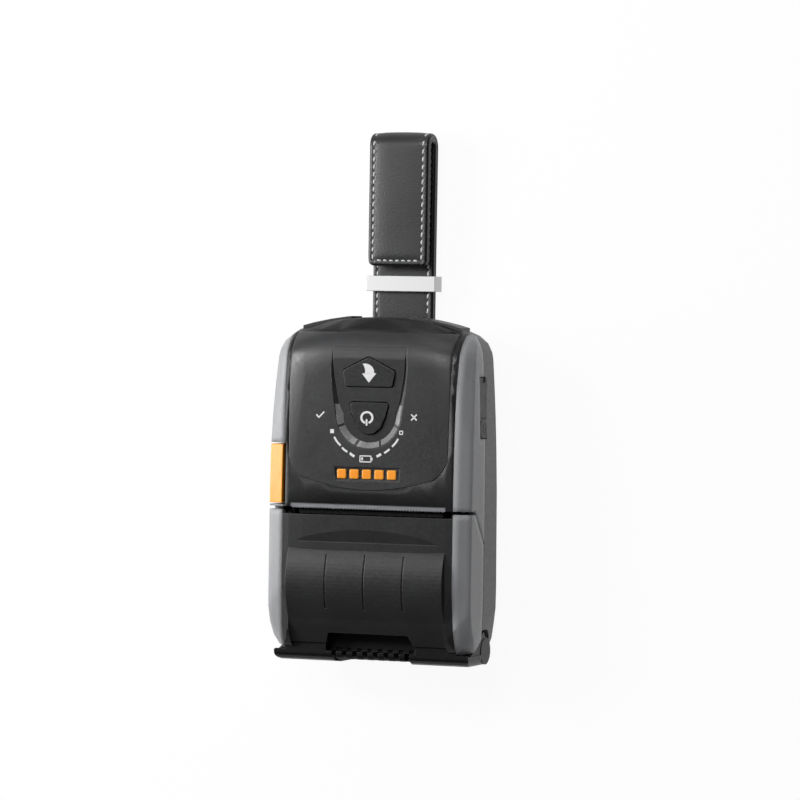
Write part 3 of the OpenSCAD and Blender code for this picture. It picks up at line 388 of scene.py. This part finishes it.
def add_object(name, verts, faces, materials, slots=None):
    """A smooth mesh object from points in millimetres."""
    mesh = bpy.data.meshes.new(name)
    mesh.from_pydata([tuple(c * MM for c in v) for v in verts], [], faces)
    for material in materials:
        mesh.materials.append(material)
    if slots:
        mesh.polygons.foreach_set("material_index", slots)
    mesh.polygons.foreach_set("use_smooth", [True] * len(mesh.polygons))
    bm = bmesh.new()
    bm.from_mesh(mesh)
    bmesh.ops.recalc_face_normals(bm, faces=bm.faces[:])
    bm.to_mesh(mesh)
    bm.free()
    obj = bpy.data.objects.new(name, mesh)
    bpy.context.scene.collection.objects.link(obj)
    return obj


# Smooth skins of the two curved shells

WELD = 0.000002             # metres within which two corners of the solid are one
SLIVER = 0.000001           # metres under which an edge is dropped
CORNER = 30                 # degrees from which an edge stays sharp
FACE_WEIGHT = 70            # how far the larger faces lead the shading


def smooth_shell(name):
    """A CAD node's own form with its flat facets shaded as one curved skin; its corners stay sharp."""
    mesh = nodes[name].data.copy()
    bm = bmesh.new()
    bm.from_mesh(mesh)
    bmesh.ops.remove_doubles(bm, verts=bm.verts[:], dist=WELD)
    bmesh.ops.dissolve_degenerate(bm, edges=bm.edges[:], dist=SLIVER)
    bm.to_mesh(mesh)
    bm.free()
    mesh.polygons.foreach_set("use_smooth", [True] * len(mesh.polygons))
    mesh.set_sharp_from_angle(angle=math.radians(CORNER))
    obj = bpy.data.objects.new("skin_" + name, mesh)
    bpy.context.scene.collection.objects.link(obj)
    weigh = obj.modifiers.new("weigh", "WEIGHTED_NORMAL")
    weigh.keep_sharp = True
    weigh.weight = FACE_WEIGHT
    view = bpy.context.evaluated_depsgraph_get()
    done = bpy.data.meshes.new_from_object(obj.evaluated_get(view))
    obj.modifiers.clear()
    obj.data = done
    obj.data.materials.clear()
    obj.data.materials.append(LOOKS[name])
    body = [b for b, members in frame["record"]["behaviour"]["bodies"].items() if name in members][0]
    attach(obj, body)
    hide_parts(name)


def make_skins():
    for name in ("panel_plate", "top_shell"):
        smooth_shell(name)


# Section of the leather belt, in millimetres

STITCH_IN = 2.1             # from the belt's edge to its row of stitches
# Each place below is a distance in from the belt's edge, but for the first three
CROWN = ((0, 1.0), (0.3, 0.93), (0.55, 0.72))           # share of the half width, share of the crown
SHOULDER = ((4.2, 0.42), (3.2, 0.22))                   # share of the crown
GROOVE = ((2.65, -0.02), (STITCH_IN, -0.2), (1.6, -0.03), (1.25, 0.02))     # height over the face
ROUNDING = ((0.85, -0.04), (0.5, -0.16), (0.2, -0.4), (0.04, -0.75))        # height over the face
SIDE = ((0, 0.42), (0.1, 0.16), (0.24, 0))              # share of the half thickness
PAINTED_STRIPS = 4          # strips of faces at an open end that carry the edge paint


def half_face(width, thick, crown):
    """Half of a belt's section on one face, from the middle to the edge, as (x, height, painted)."""
    points = [(width * share, thick + crown * part, 0) for share, part in CROWN]
    points += [(width - inset, thick + crown * part, 0) for inset, part in SHOULDER]
    points += [(width - inset, thick + rise, 0) for inset, rise in GROOVE]
    points += [(width - inset, thick + rise, 1) for inset, rise in ROUNDING]
    points += [(width - inset, thick * part, 1) for inset, part in SIDE]
    return points


def section(width, thick, outer_crown, inner_crown):
    """The whole closed section, as (x, height, painted), going round from the middle of the outer face."""
    outer = half_face(width, thick, outer_crown)
    inner = half_face(width, thick, inner_crown)
    right = outer + [(x, -height, painted) for x, height, painted in reversed(inner[:-1])]
    left = [(-x, height, painted) for x, height, painted in reversed(right[1:-1])]
    return right + left


def belt(name, path, open_start, open_end):
    """A belt of leather along a path of (y, z, ny, nz, half width, half thickness, crown)."""
    verts, faces, slots, rings = [], [], [], []
    for y, z, ny, nz, width, thick, crown in path:
        points = section(width, thick, crown, crown * 0.5)
        rings.append(range(len(verts), len(verts) + len(points)))
        verts += [(x, y + ny * height, z + nz * height) for x, height, _ in points]
    painted = [flag for _, _, flag in section(1, 1, 0, 0)]
    strips = len(rings) - 1
    for a in range(strips):
        at_end = (open_start and a < PAINTED_STRIPS) or (open_end and a >= strips - PAINTED_STRIPS)
        for b in range(len(painted)):
            c = (b + 1) % len(painted)
            faces.append((rings[a][b], rings[a][c], rings[a + 1][c], rings[a + 1][b]))
            slots.append(1 if (painted[b] and painted[c]) or at_end else 0)
    for is_open, ring in ((open_start, rings[0]), (open_end, rings[-1])):
        if is_open:
            faces.append(tuple(ring))
            slots.append(1)
    return add_object(name, verts, faces, [strap_leather, edge_black], slots)


# Stitches, in millimetres

STITCH_PITCH = 2.8
STITCH_LENGTH, STITCH_WIDTH, STITCH_HEIGHT = 1.9, 0.84, 0.6
STITCH_SLANT, SLANT_SPREAD = 0.12, 0.09     # radians
SIZE_SPREAD = 0.05
STITCH_ENDS_SINK = 0.1
STITCH_SINK = 0.08          # from the leather's face to a stitch's middle
STITCH_RINGS, STITCH_SIDES = 6, 8


def stitch_mesh(places):
    """Short thread loops, each at (position, along, up), as rounded capsules."""
    verts, faces = [], []
    for position, along, up in places:
        along, up = Vector(along).normalized(), Vector(up).normalized()
        across = along.cross(up)
        turn = rng.uniform(-SLANT_SPREAD, SLANT_SPREAD) + STITCH_SLANT
        cos, sin = math.cos(turn), math.sin(turn)
        along, across = along * cos + across * sin, across * cos - along * sin
        length = STITCH_LENGTH * (1 + rng.uniform(-SIZE_SPREAD, SIZE_SPREAD))
        base = len(verts)
        for i in range(STITCH_RINGS + 1):
            t = -1 + 2 * i / STITCH_RINGS
            swell = max(0.12, (1 - abs(t) ** 3.2)) ** 0.5
            rise = -STITCH_ENDS_SINK * t * t
            for k in range(STITCH_SIDES):
                angle = 2 * math.pi * k / STITCH_SIDES
                point = Vector(position) + along * (t * length / 2)
                point += across * (math.cos(angle) * swell * STITCH_WIDTH / 2)
                point += up * (math.sin(angle) * swell * STITCH_HEIGHT / 2 + rise)
                verts.append(tuple(point))
        for i in range(STITCH_RINGS):
            near = base + i * STITCH_SIDES
            far = near + STITCH_SIDES
            for k in range(STITCH_SIDES):
                n = (k + 1) % STITCH_SIDES
                faces.append((near + k, near + n, far + n, far + k))
        last = base + STITCH_RINGS * STITCH_SIDES
        faces.append(tuple(base + k for k in range(STITCH_SIDES)))
        faces.append(tuple(last + k for k in reversed(range(STITCH_SIDES))))
    return verts, faces


def path_lengths(path):
    """The length along a path at each of its points."""
    lengths = [0.0]
    for a, b in zip(path, path[1:]):
        lengths.append(lengths[-1] + math.hypot(b[0] - a[0], b[1] - a[1]))
    return lengths


def stitch_run(path, side, first, last):
    """Stitches along both edges of a belt's outer (side 1) or inner (side -1) face, between two lengths."""
    lengths = path_lengths(path)
    count = max(1, round((last - first) / STITCH_PITCH))
    places = []
    for i in range(count + 1):
        at = first + (last - first) * i / count
        k = max(j for j in range(len(path) - 1) if lengths[j] <= at + 1e-9)
        share = min(1.0, (at - lengths[k]) / max(1e-9, lengths[k + 1] - lengths[k]))
        a, b = path[k], path[k + 1]
        y, z, ny, nz, width, thick = (a[m] + (b[m] - a[m]) * share for m in range(6))
        along = (0, b[0] - a[0], b[1] - a[1])
        up = (0, ny * side, nz * side)
        height = side * (thick - STITCH_SINK)
        for sign in (-1, 1):
            places.append(((sign * (width - STITCH_IN), y + ny * height, z + nz * height), along, up))
    return places


# Strap, in millimetres: a loop round its bar, the back, the fold and the flap

BAR_Y, BAR_Z, LOOP_R = 61.0, 5.3, 3.5
LOOP_START, LOOP_TURN, LOOP_RINGS = 8, 10, 9            # degrees: the first ring, then the turn to each next
LOOP_NARROW, NARROW_RINGS = 0.5, 3          # how much narrower the loop begins, and over how many rings
EASE_STEP, EASE_RINGS, EASE_CROWN = 0.5, 10, 0.03       # past the loop: each step, and its gain in crown
BACK_FROM = 6.5             # from the bar to the first plain ring of the back
BACK_WIDTH, BACK_THICK, BACK_CROWN = 12.4, 1.8, 0.32    # half width, half thickness
SAG, SAG_FROM, SAG_OVER = 0.1, 70, 60       # how far the back sinks, from where and over what length
FOLD_Y, FOLD_Z, FOLD_R = 129.5, 8.5, 3.3
FOLD_WIDTH, FOLD_THICK, FOLD_CROWN = 12.2, 1.75, 0.42
FOLD_STEPS, FOLD_TAPER = 12, 0.2
FOLD_GAP = 0.4              # the back's last ring lies further than this before the fold
FLAP_Y = 84.3
FLAP_WIDTH, FLAP_THICK, FLAP_CROWN = 12.0, 1.7, 0.5
FLAP_CORNER = 2.4
FLAP_END_FROM = 4.2         # the flap's plain rings stop this far before its end
# The flap's end: a distance from the end, and how far its groove and rounding lie under the face there
FLAP_END = ((4.0, 0.0), (3.2, 0.02), (2.65, 0.1), (STITCH_IN, 0.2), (1.6, 0.06), (1.25, 0.0), (0.85, 0.04),
            (0.5, 0.16), (0.2, 0.42), (0.06, 0.75), (0.0, 1.0))
CROWN_ENDS, CROWN_FADE = 1.6, 2.6           # where the crown reaches the face, and the length it fades over
RING_STEP = 1.5


def loop_thick(y):
    """Half the height of the loop round the bar, at one place along it."""
    return math.sqrt(max(0, LOOP_R ** 2 - (y - BAR_Y) ** 2))


def fold_ring(angle, width):
    """A ring of the fold, at an angle from -90 degrees (the back) to 90 (the flap)."""
    ny, nz = math.cos(math.radians(angle)), math.sin(math.radians(angle))
    return (FOLD_Y + FOLD_R * ny, FOLD_Z + FOLD_R * nz, ny, nz, width, FOLD_THICK, FOLD_CROWN)


def back_path():
    """From the loop round the bar, along the back and up to the middle of the fold."""
    path = []
    for i in range(LOOP_RINGS):
        y = BAR_Y - LOOP_R * math.cos(math.radians(LOOP_START + LOOP_TURN * i))
        width = BACK_WIDTH - LOOP_NARROW * max(0, 1 - i / NARROW_RINGS)
        path.append((y, BAR_Z, 0, -1, width, loop_thick(y), 0.0))
    for i in range(EASE_RINGS):
        y = BAR_Y + EASE_STEP + i * EASE_STEP
        path.append((y, BAR_Z, 0, -1, BACK_WIDTH, max(loop_thick(y), BACK_THICK), EASE_CROWN * i))
    y = BAR_Y + BACK_FROM
    while y < FOLD_Y - FOLD_GAP:
        z = BAR_Z - SAG * max(0, y - SAG_FROM) / SAG_OVER
        path.append((y, z, 0, -1, BACK_WIDTH, BACK_THICK, BACK_CROWN))
        y += RING_STEP
    for i in range(FOLD_STEPS + 1):
        path.append(fold_ring(-90 + 90 * i / FOLD_STEPS, BACK_WIDTH - FOLD_TAPER * i / FOLD_STEPS))
    return path


def flap_path():
    """From the middle of the fold over its top and along to the rounded end of the flap."""
    path = []
    for i in range(FOLD_STEPS + 1):
        path.append(fold_ring(90 * i / FOLD_STEPS, FOLD_WIDTH - FOLD_TAPER * i / FOLD_STEPS))
    top = FOLD_Z + FOLD_R
    y = FOLD_Y - RING_STEP
    while y > FLAP_Y + FLAP_END_FROM:
        path.append((y, top, 0, 1, FLAP_WIDTH, FLAP_THICK, FLAP_CROWN))
        y -= RING_STEP
    for distance, drop in FLAP_END:
        inset = max(0, FLAP_CORNER - distance)
        width = FLAP_WIDTH - (FLAP_CORNER - math.sqrt(FLAP_CORNER ** 2 - inset ** 2))
        crown = FLAP_CROWN * min(1, max(0, (distance - CROWN_ENDS) / CROWN_FADE))
        path.append((FLAP_Y + distance, top, 0, 1, width, FLAP_THICK - drop, crown))
    return path


# Lengths along the back and along the flap, between which their stitches run
STITCHES_FROM = 10.0        # on both faces of the back, past the loop
INNER_STITCHES_TO = 72.0    # on the inner face of the back
OUTER_STITCHES_SHORT = 0.6  # how far they stop short of the fold's middle on its outer face
FLAP_STITCHES_FROM, FLAP_INNER_FROM = 1.6, 9.0          # on the flap's outer and inner face
FLAP_STITCHES_SHORT = 3.4   # how far the flap's stitches stop short of its end
END_STITCHES, END_PITCH = 7, 2.45           # the row across the flap's end
END_HEIGHT = 1.48           # from the flap's middle to that row


def make_strap():
    back, flap = back_path(), flap_path()
    back_length, flap_length = path_lengths(back)[-1], path_lengths(flap)[-1]
    belt_back = belt("leather_back", back, True, False)
    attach(belt_back, "strap")
    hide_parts("strap_back")
    runs = stitch_run(back, 1, STITCHES_FROM, back_length - OUTER_STITCHES_SHORT)
    runs += stitch_run(back, -1, STITCHES_FROM, INNER_STITCHES_TO)
    seam = add_object("stitches_back", *stitch_mesh(runs), [grey_thread])
    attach(seam, "strap")
    belt_flap = belt("leather_flap", flap, False, True)
    runs = stitch_run(flap, 1, FLAP_STITCHES_FROM, flap_length - FLAP_STITCHES_SHORT)
    runs += stitch_run(flap, -1, FLAP_INNER_FROM, flap_length - FLAP_STITCHES_SHORT)
    for side in (1, -1):
        for i in range(END_STITCHES):
            x = END_PITCH * (i - (END_STITCHES - 1) / 2)
            place = (x, FLAP_Y + STITCH_IN, FOLD_Z + FOLD_R + side * END_HEIGHT)
            runs.append((place, (1, 0, 0), (0, 0, side)))
    seam_flap = add_object("stitches_flap", *stitch_mesh(runs), [grey_thread])
    for piece in (belt_flap, seam_flap):
        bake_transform(piece)
    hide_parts("strap_flap")


# Dots and ring on the round anchor of the port cover, in millimetres

ANCHOR_X, ANCHOR_Y, ANCHOR_Z = 39.58, 23.9, 23.3
DOTS_R, DOT_R, DOT_RISE, DOT_SINK = 1.1, 0.5, 0.3, 0.02
DOT_RINGS, DOT_SIDES = 4, 14
RING_R, RING_HALF, RING_RISE = 2.75, 0.2, 0.16
RING_TURNS, RING_SIDES = 40, 8


def add_dot(verts, faces, y, z):
    """A closed dome that rises along +x."""
    base = len(verts)
    verts.append((ANCHOR_X + DOT_RISE, y, z))
    for ring in range(1, DOT_RINGS + 1):
        fall = ring / DOT_RINGS * math.pi / 2
        x = ANCHOR_X + DOT_RISE * math.cos(fall) - DOT_SINK
        for k in range(DOT_SIDES):
            angle = 2 * math.pi * k / DOT_SIDES
            radius = DOT_R * math.sin(fall)
            verts.append((x, y + radius * math.cos(angle), z + radius * math.sin(angle)))
    for k in range(DOT_SIDES):
        n = (k + 1) % DOT_SIDES
        faces.append((base, base + 1 + k, base + 1 + n))
        for ring in range(DOT_RINGS - 1):
            near = base + 1 + ring * DOT_SIDES
            far = near + DOT_SIDES
            faces.append((near + k, far + k, far + n, near + n))
    foot = base + 1 + (DOT_RINGS - 1) * DOT_SIDES
    faces.append(tuple(foot + k for k in range(DOT_SIDES)))


def add_ring(verts, faces):
    """A flat ring with a rounded section, round the dots."""
    base = len(verts)
    for i in range(RING_TURNS):
        turn = 2 * math.pi * i / RING_TURNS
        for k in range(RING_SIDES):
            angle = 2 * math.pi * k / RING_SIDES
            radius = RING_R + RING_HALF * math.cos(angle)
            verts.append((ANCHOR_X + RING_RISE * math.sin(angle),
                          ANCHOR_Y + radius * math.cos(turn), ANCHOR_Z + radius * math.sin(turn)))
    for i in range(RING_TURNS):
        here, there = base + i * RING_SIDES, base + (i + 1) % RING_TURNS * RING_SIDES
        for k in range(RING_SIDES):
            n = (k + 1) % RING_SIDES
            faces.append((here + k, there + k, there + n, here + n))


def make_plug():
    """Three small domes and a raised ring on the round plug that holds the port cover."""
    verts, faces = [], []
    for angle in (90, 210, 330):
        turn = math.radians(angle)
        add_dot(verts, faces, ANCHOR_Y + DOTS_R * math.cos(turn), ANCHOR_Z + DOTS_R * math.sin(turn))
    add_ring(verts, faces)
    plug = add_object("plug_dots", verts, faces, [grey_plastic])
    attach(plug, "base")


# Printed marks: ink laid on a surface by lines of sight from the camera

PANEL_TOP = 40.3            # height of the plane that the panel's marks are aimed at
INK_LIFT = 0.00003          # metres from the surface to the ink
STROKE_STEP = 0.5           # length of a stroke's quads


def surface(name):
    """The faces of a CAD node, to cast rays at."""
    mesh = nodes[name].data
    return BVHTree.FromPolygons([v.co for v in mesh.vertices], [tuple(p.vertices) for p in mesh.polygons])


def panel_ray(x, y):
    """The line of sight to a place on the panel, in millimetres."""
    return Vector((x, y, PANEL_TOP)) * MM - CAMERA_AT


def pixel_ray(column, row):
    """The line of sight through a pixel of the photograph's frame."""
    centre = IMAGE_SIZE / 2
    return VIEW_RIGHT * ((column - centre) / FOCAL) + VIEW_UP * ((centre - row) / FOCAL) - VIEW_BACK


def flat_mark(name, outlines, ray, tree, body):
    """Ink lying on a surface: each outline is a closed ring of places, filled and raised a hair."""
    verts, faces = [], []
    for ring in outlines:
        faces.append(tuple(range(len(verts), len(verts) + len(ring))))
        for place in ring:
            hit, normal, _, _ = tree.ray_cast(CAMERA_AT, ray(*place).normalized())
            if normal.z < 0:
                normal = -normal
            verts.append(tuple((hit + normal * INK_LIFT) / MM))
    obj = add_object(name, verts, faces, [white_ink])
    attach(obj, body)


def stroke(points, width, closed=False):
    """A stroke along a polyline as short quads, in the polyline's own units."""
    ends = points + points[:1] if closed else points
    dense = []
    for a, b in zip(ends, ends[1:]):
        steps = max(1, math.ceil(math.hypot(b[0] - a[0], b[1] - a[1]) / STROKE_STEP))
        dense += [(a[0] + (b[0] - a[0]) * i / steps, a[1] + (b[1] - a[1]) * i / steps) for i in range(steps)]
    dense.append(ends[-1])
    sides = []
    for i, (x, y) in enumerate(dense):
        before = dense[i - 1] if i else (dense[-2] if closed else (x, y))
        after = dense[i + 1] if i + 1 < len(dense) else (dense[1] if closed else (x, y))
        dx, dy = after[0] - before[0], after[1] - before[1]
        length = math.hypot(dx, dy) or 1
        across, up = dy / length * width / 2, dx / length * width / 2
        sides.append(((x - across, y + up), (x + across, y - up)))
    return [(a[0], a[1], b[1], b[0]) for a, b in zip(sides, sides[1:])]


def arc(cx, cy, radius, start, end, steps):
    """Points on an arc between two angles in degrees."""
    angles = [math.radians(start + (end - start) * i / steps) for i in range(steps + 1)]
    return [(cx + radius * math.cos(angle), cy + radius * math.sin(angle)) for angle in angles]


def upright(x, start, end, width):
    """A straight stroke along y."""
    return stroke([(x, start), (x, end)], width)


def square(cx, cy, half):
    """The corners of a square, from its low left one round through its low right one."""
    return [(cx - half, cy - half), (cx + half, cy - half), (cx + half, cy + half), (cx - half, cy + half)]


# Marks on the panel, in millimetres
DASH_WIDTH, LOW_DASH_WIDTH = 0.75, 0.95
DASHES = (
    (DASH_WIDTH, ((-13.4, 20.1), (-12.3, 18.4), (-10.8, 16.9))),
    (DASH_WIDTH, ((-10.2, 16.2), (-9.2, 15.3), (-8.0, 14.6))),
    (LOW_DASH_WIDTH, ((-7.0, 14.2), (-6.1, 13.5), (-5.1, 13.0))),
    (LOW_DASH_WIDTH, ((3.7, 13.2), (4.6, 13.6), (5.5, 14.2))),
    (DASH_WIDTH, ((6.8, 14.6), (7.9, 15.3), (8.9, 16.1))),
    (DASH_WIDTH, ((9.9, 17.0), (11.2, 18.4), (12.3, 20.0))),
)
BATTERY_AT, BATTERY_LINE = (-0.6, 12.2), 0.42
BATTERY_LEFT, BATTERY_RIGHT, BATTERY_HALF = 2.3, 2.1, 1.1
TERMINAL_X, TERMINAL_HALF, TERMINAL_WIDTH = 2.5, 0.5, 0.5
CHARGE_X, CHARGE_HALF, CHARGE_WIDTH = -1.45, 0.55, 0.7
FULL_AT, FULL_SIZE = (-14.3, 22.2), 1.5
EMPTY_AT, EMPTY_HALF, EMPTY_LINE = (13.4, 22.3), 0.6, 0.4
CHECK_AT, CHECK = (-19.2, 28.2), ((-1.5, 0.1), (-0.5, -1.0), (1.6, 1.2))
CROSS_AT, CROSS_HALF = (18.4, 28.1), 1.1
SIGN_LINE = 0.55


def make_scale(tree):
    """The dashed arc of the battery scale, a battery at its foot and a full and an empty square."""
    rings = []
    for width, points in DASHES:
        rings += stroke(points, width)
    flat_mark("mark_dashes", rings, panel_ray, tree, "base")
    x, y = BATTERY_AT
    left, right = x - BATTERY_LEFT, x + BATTERY_RIGHT
    low, high = y - BATTERY_HALF, y + BATTERY_HALF
    rings = stroke([(left, low), (right, low), (right, high), (left, high)], BATTERY_LINE, closed=True)
    rings += upright(x + TERMINAL_X, y - TERMINAL_HALF, y + TERMINAL_HALF, TERMINAL_WIDTH)
    rings += upright(x + CHARGE_X, y - CHARGE_HALF, y + CHARGE_HALF, CHARGE_WIDTH)
    flat_mark("mark_battery", rings, panel_ray, tree, "base")
    x, y = FULL_AT
    rings = stroke([(x - FULL_SIZE / 2, y), (x + FULL_SIZE / 2, y)], FULL_SIZE)
    rings += stroke(square(*EMPTY_AT, EMPTY_HALF), EMPTY_LINE, closed=True)
    flat_mark("mark_levels", rings, panel_ray, tree, "base")


def make_signs(tree):
    """A check mark and a cross beside the upper windows."""
    x, y = CHECK_AT
    rings = stroke([(x + dx, y + dy) for dx, dy in CHECK], SIGN_LINE)
    low_left, low_right, high_right, high_left = square(*CROSS_AT, CROSS_HALF)
    rings += stroke([low_left, high_right], SIGN_LINE)
    rings += stroke([high_left, low_right], SIGN_LINE)
    flat_mark("mark_states", rings, panel_ray, tree, "base")


# Marks on the two buttons, in pixels of the photograph's frame
FEED_LEFT = ((362.6, 363.6), (363.7, 365.4), (364.6, 367.6), (365.2, 370.6), (365.0, 373.3), (365.0, 373.5))
FEED_RIGHT = ((362.6, 363.6), (366.2, 363.5), (369.6, 364.6), (372.4, 367.0), (374.0, 370.0), (374.3, 373.5))
FEED_HEAD = ((362.0, 373.4), (376.3, 373.4), (372.5, 378.1), (365.4, 378.1))
FEED_TIP = ((365.4, 378.1), (372.5, 378.1), (368.9, 382.7))
POWER_AT, POWER_R, POWER_WIDTH = (366.9, 417.6), 5.5, 2.1
POWER_ARC, POWER_STEPS = (108, 432), 40     # the ring's two ends in degrees, with its gap between them
BAR_SHIFT, BAR_START, BAR_END, BAR_WIDTH = -0.3, 1.6, 8.0, 1.7      # the bar, from the ring's centre


def make_feed_arrow():
    """A curved arrow on the feed button."""
    rings = list(zip(FEED_LEFT, FEED_LEFT[1:], FEED_RIGHT[1:], FEED_RIGHT))
    rings += [FEED_HEAD, FEED_TIP]
    flat_mark("mark_feed", rings, pixel_ray, surface("feed_button"), "feed_key")


def make_power_sign():
    """A ring with a bar on the power button."""
    x, y = POWER_AT
    rings = stroke(arc(x, y, POWER_R, *POWER_ARC, POWER_STEPS), POWER_WIDTH)
    rings += upright(x + BAR_SHIFT, y + BAR_START, y + BAR_END, BAR_WIDTH)
    flat_mark("mark_power", rings, pixel_ray, surface("power_button"), "power_key")


def make_marks():
    panel = surface("panel_plate")
    make_scale(panel)
    make_signs(panel)
    make_feed_arrow()
    make_power_sign()


# Studio, in metres

CENTRE = (0, 0.02, 0.02)
FLOOR_HALF = 6.0
FLOOR_DROP = 0.0004         # the floor lies this far under the printer's feet
FLOOR_GREY = (0.92, 0.92, 0.92, 1)
FLOOR_GLOW = 0.94           # the floor's share of plain white as the camera and reflections see it
SKY = (0.94, 0.95, 1.0, 1)
SKY_STRENGTH = 0.1
WHITE = (1, 1, 1, 1)


def area(name, at, to, size, power, size_y=None):
    """A soft lamp at one place, aimed at another."""
    data = bpy.data.lights.new(name, "AREA")
    data.energy = power
    data.shape = "RECTANGLE" if size_y else "SQUARE"
    data.size = size
    if size_y:
        data.size_y = size_y
    obj = bpy.data.objects.new(name, data)
    at, to = Vector(at), Vector(to)
    obj.matrix_world = Matrix.Translation(at) @ (at - to).to_track_quat("Z", "Y").to_matrix().to_4x4()
    bpy.context.scene.collection.objects.link(obj)


def new_tree(owner):
    """The emptied node tree of a world or a material."""
    owner.use_nodes = True
    owner.node_tree.nodes.clear()
    return owner.node_tree


def coloured(tree, kind, colour):
    """A plain shader of one colour."""
    node = tree.nodes.new(kind)
    node.inputs["Color"].default_value = colour
    return node


def join(tree, kind, share, plain, bright):
    """Ends a tree in a blend of two shaders."""
    output = tree.nodes.new(kind)
    blend = tree.nodes.new("ShaderNodeMixShader")
    for socket, source in zip(blend.inputs, (share, plain.outputs[0], bright.outputs[0])):
        tree.links.new(source, socket)
    tree.links.new(blend.outputs[0], output.inputs[0])


def make_world():
    """A faint sky that lights the printer, with white behind it for the camera."""
    world = bpy.data.worlds.new("world")
    bpy.context.scene.world = world
    tree = new_tree(world)
    sky = coloured(tree, "ShaderNodeBackground", SKY)
    sky.inputs["Strength"].default_value = SKY_STRENGTH
    white = coloured(tree, "ShaderNodeBackground", WHITE)
    path = tree.nodes.new("ShaderNodeLightPath")
    join(tree, "ShaderNodeOutputWorld", path.outputs["Is Camera Ray"], sky, white)


def make_floor():
    """A pale floor that keeps the printer's shadow."""
    mesh = bpy.data.meshes.new("floor")
    mesh.from_pydata([(x, y, 0) for x, y in square(0, 0, FLOOR_HALF)], [], [(0, 1, 2, 3)])
    floor = bpy.data.objects.new("floor", mesh)
    floor.location = (0, 0, -FLOOR_DROP)
    bpy.context.scene.collection.objects.link(floor)
    material = bpy.data.materials.new("floor")
    tree = new_tree(material)
    matt = coloured(tree, "ShaderNodeBsdfDiffuse", FLOOR_GREY)
    glow = coloured(tree, "ShaderNodeEmission", WHITE)
    path = tree.nodes.new("ShaderNodeLightPath")
    seen = tree.nodes.new("ShaderNodeMath")
    seen.operation = "MAXIMUM"
    tree.links.new(path.outputs["Is Camera Ray"], seen.inputs[0])
    tree.links.new(path.outputs["Is Glossy Ray"], seen.inputs[1])
    share = tree.nodes.new("ShaderNodeMath")
    share.operation = "MULTIPLY"
    share.inputs[1].default_value = FLOOR_GLOW
    tree.links.new(seen.outputs[0], share.inputs[0])
    join(tree, "ShaderNodeOutputMaterial", share.outputs[0], matt, glow)
    floor.data.materials.append(material)


def studio():
    place_camera()
    area("key", (-0.44, 0.2, 0.38), CENTRE, 0.22, 2.8)
    area("strip", (-0.7, 0.02, 0.14), CENTRE, 0.14, 2.6, size_y=0.5)
    area("top", (0.02, 0.42, 0.85), (0, -0.02, 0.03), 0.3, 3.2)
    area("back", (0.05, 0.95, 0.45), CENTRE, 0.35, 1.2)
    make_world()
    make_floor()
    bpy.context.scene.view_settings.view_transform = "Standard"


make_skins()
make_strap()
make_plug()
make_marks()
studio()
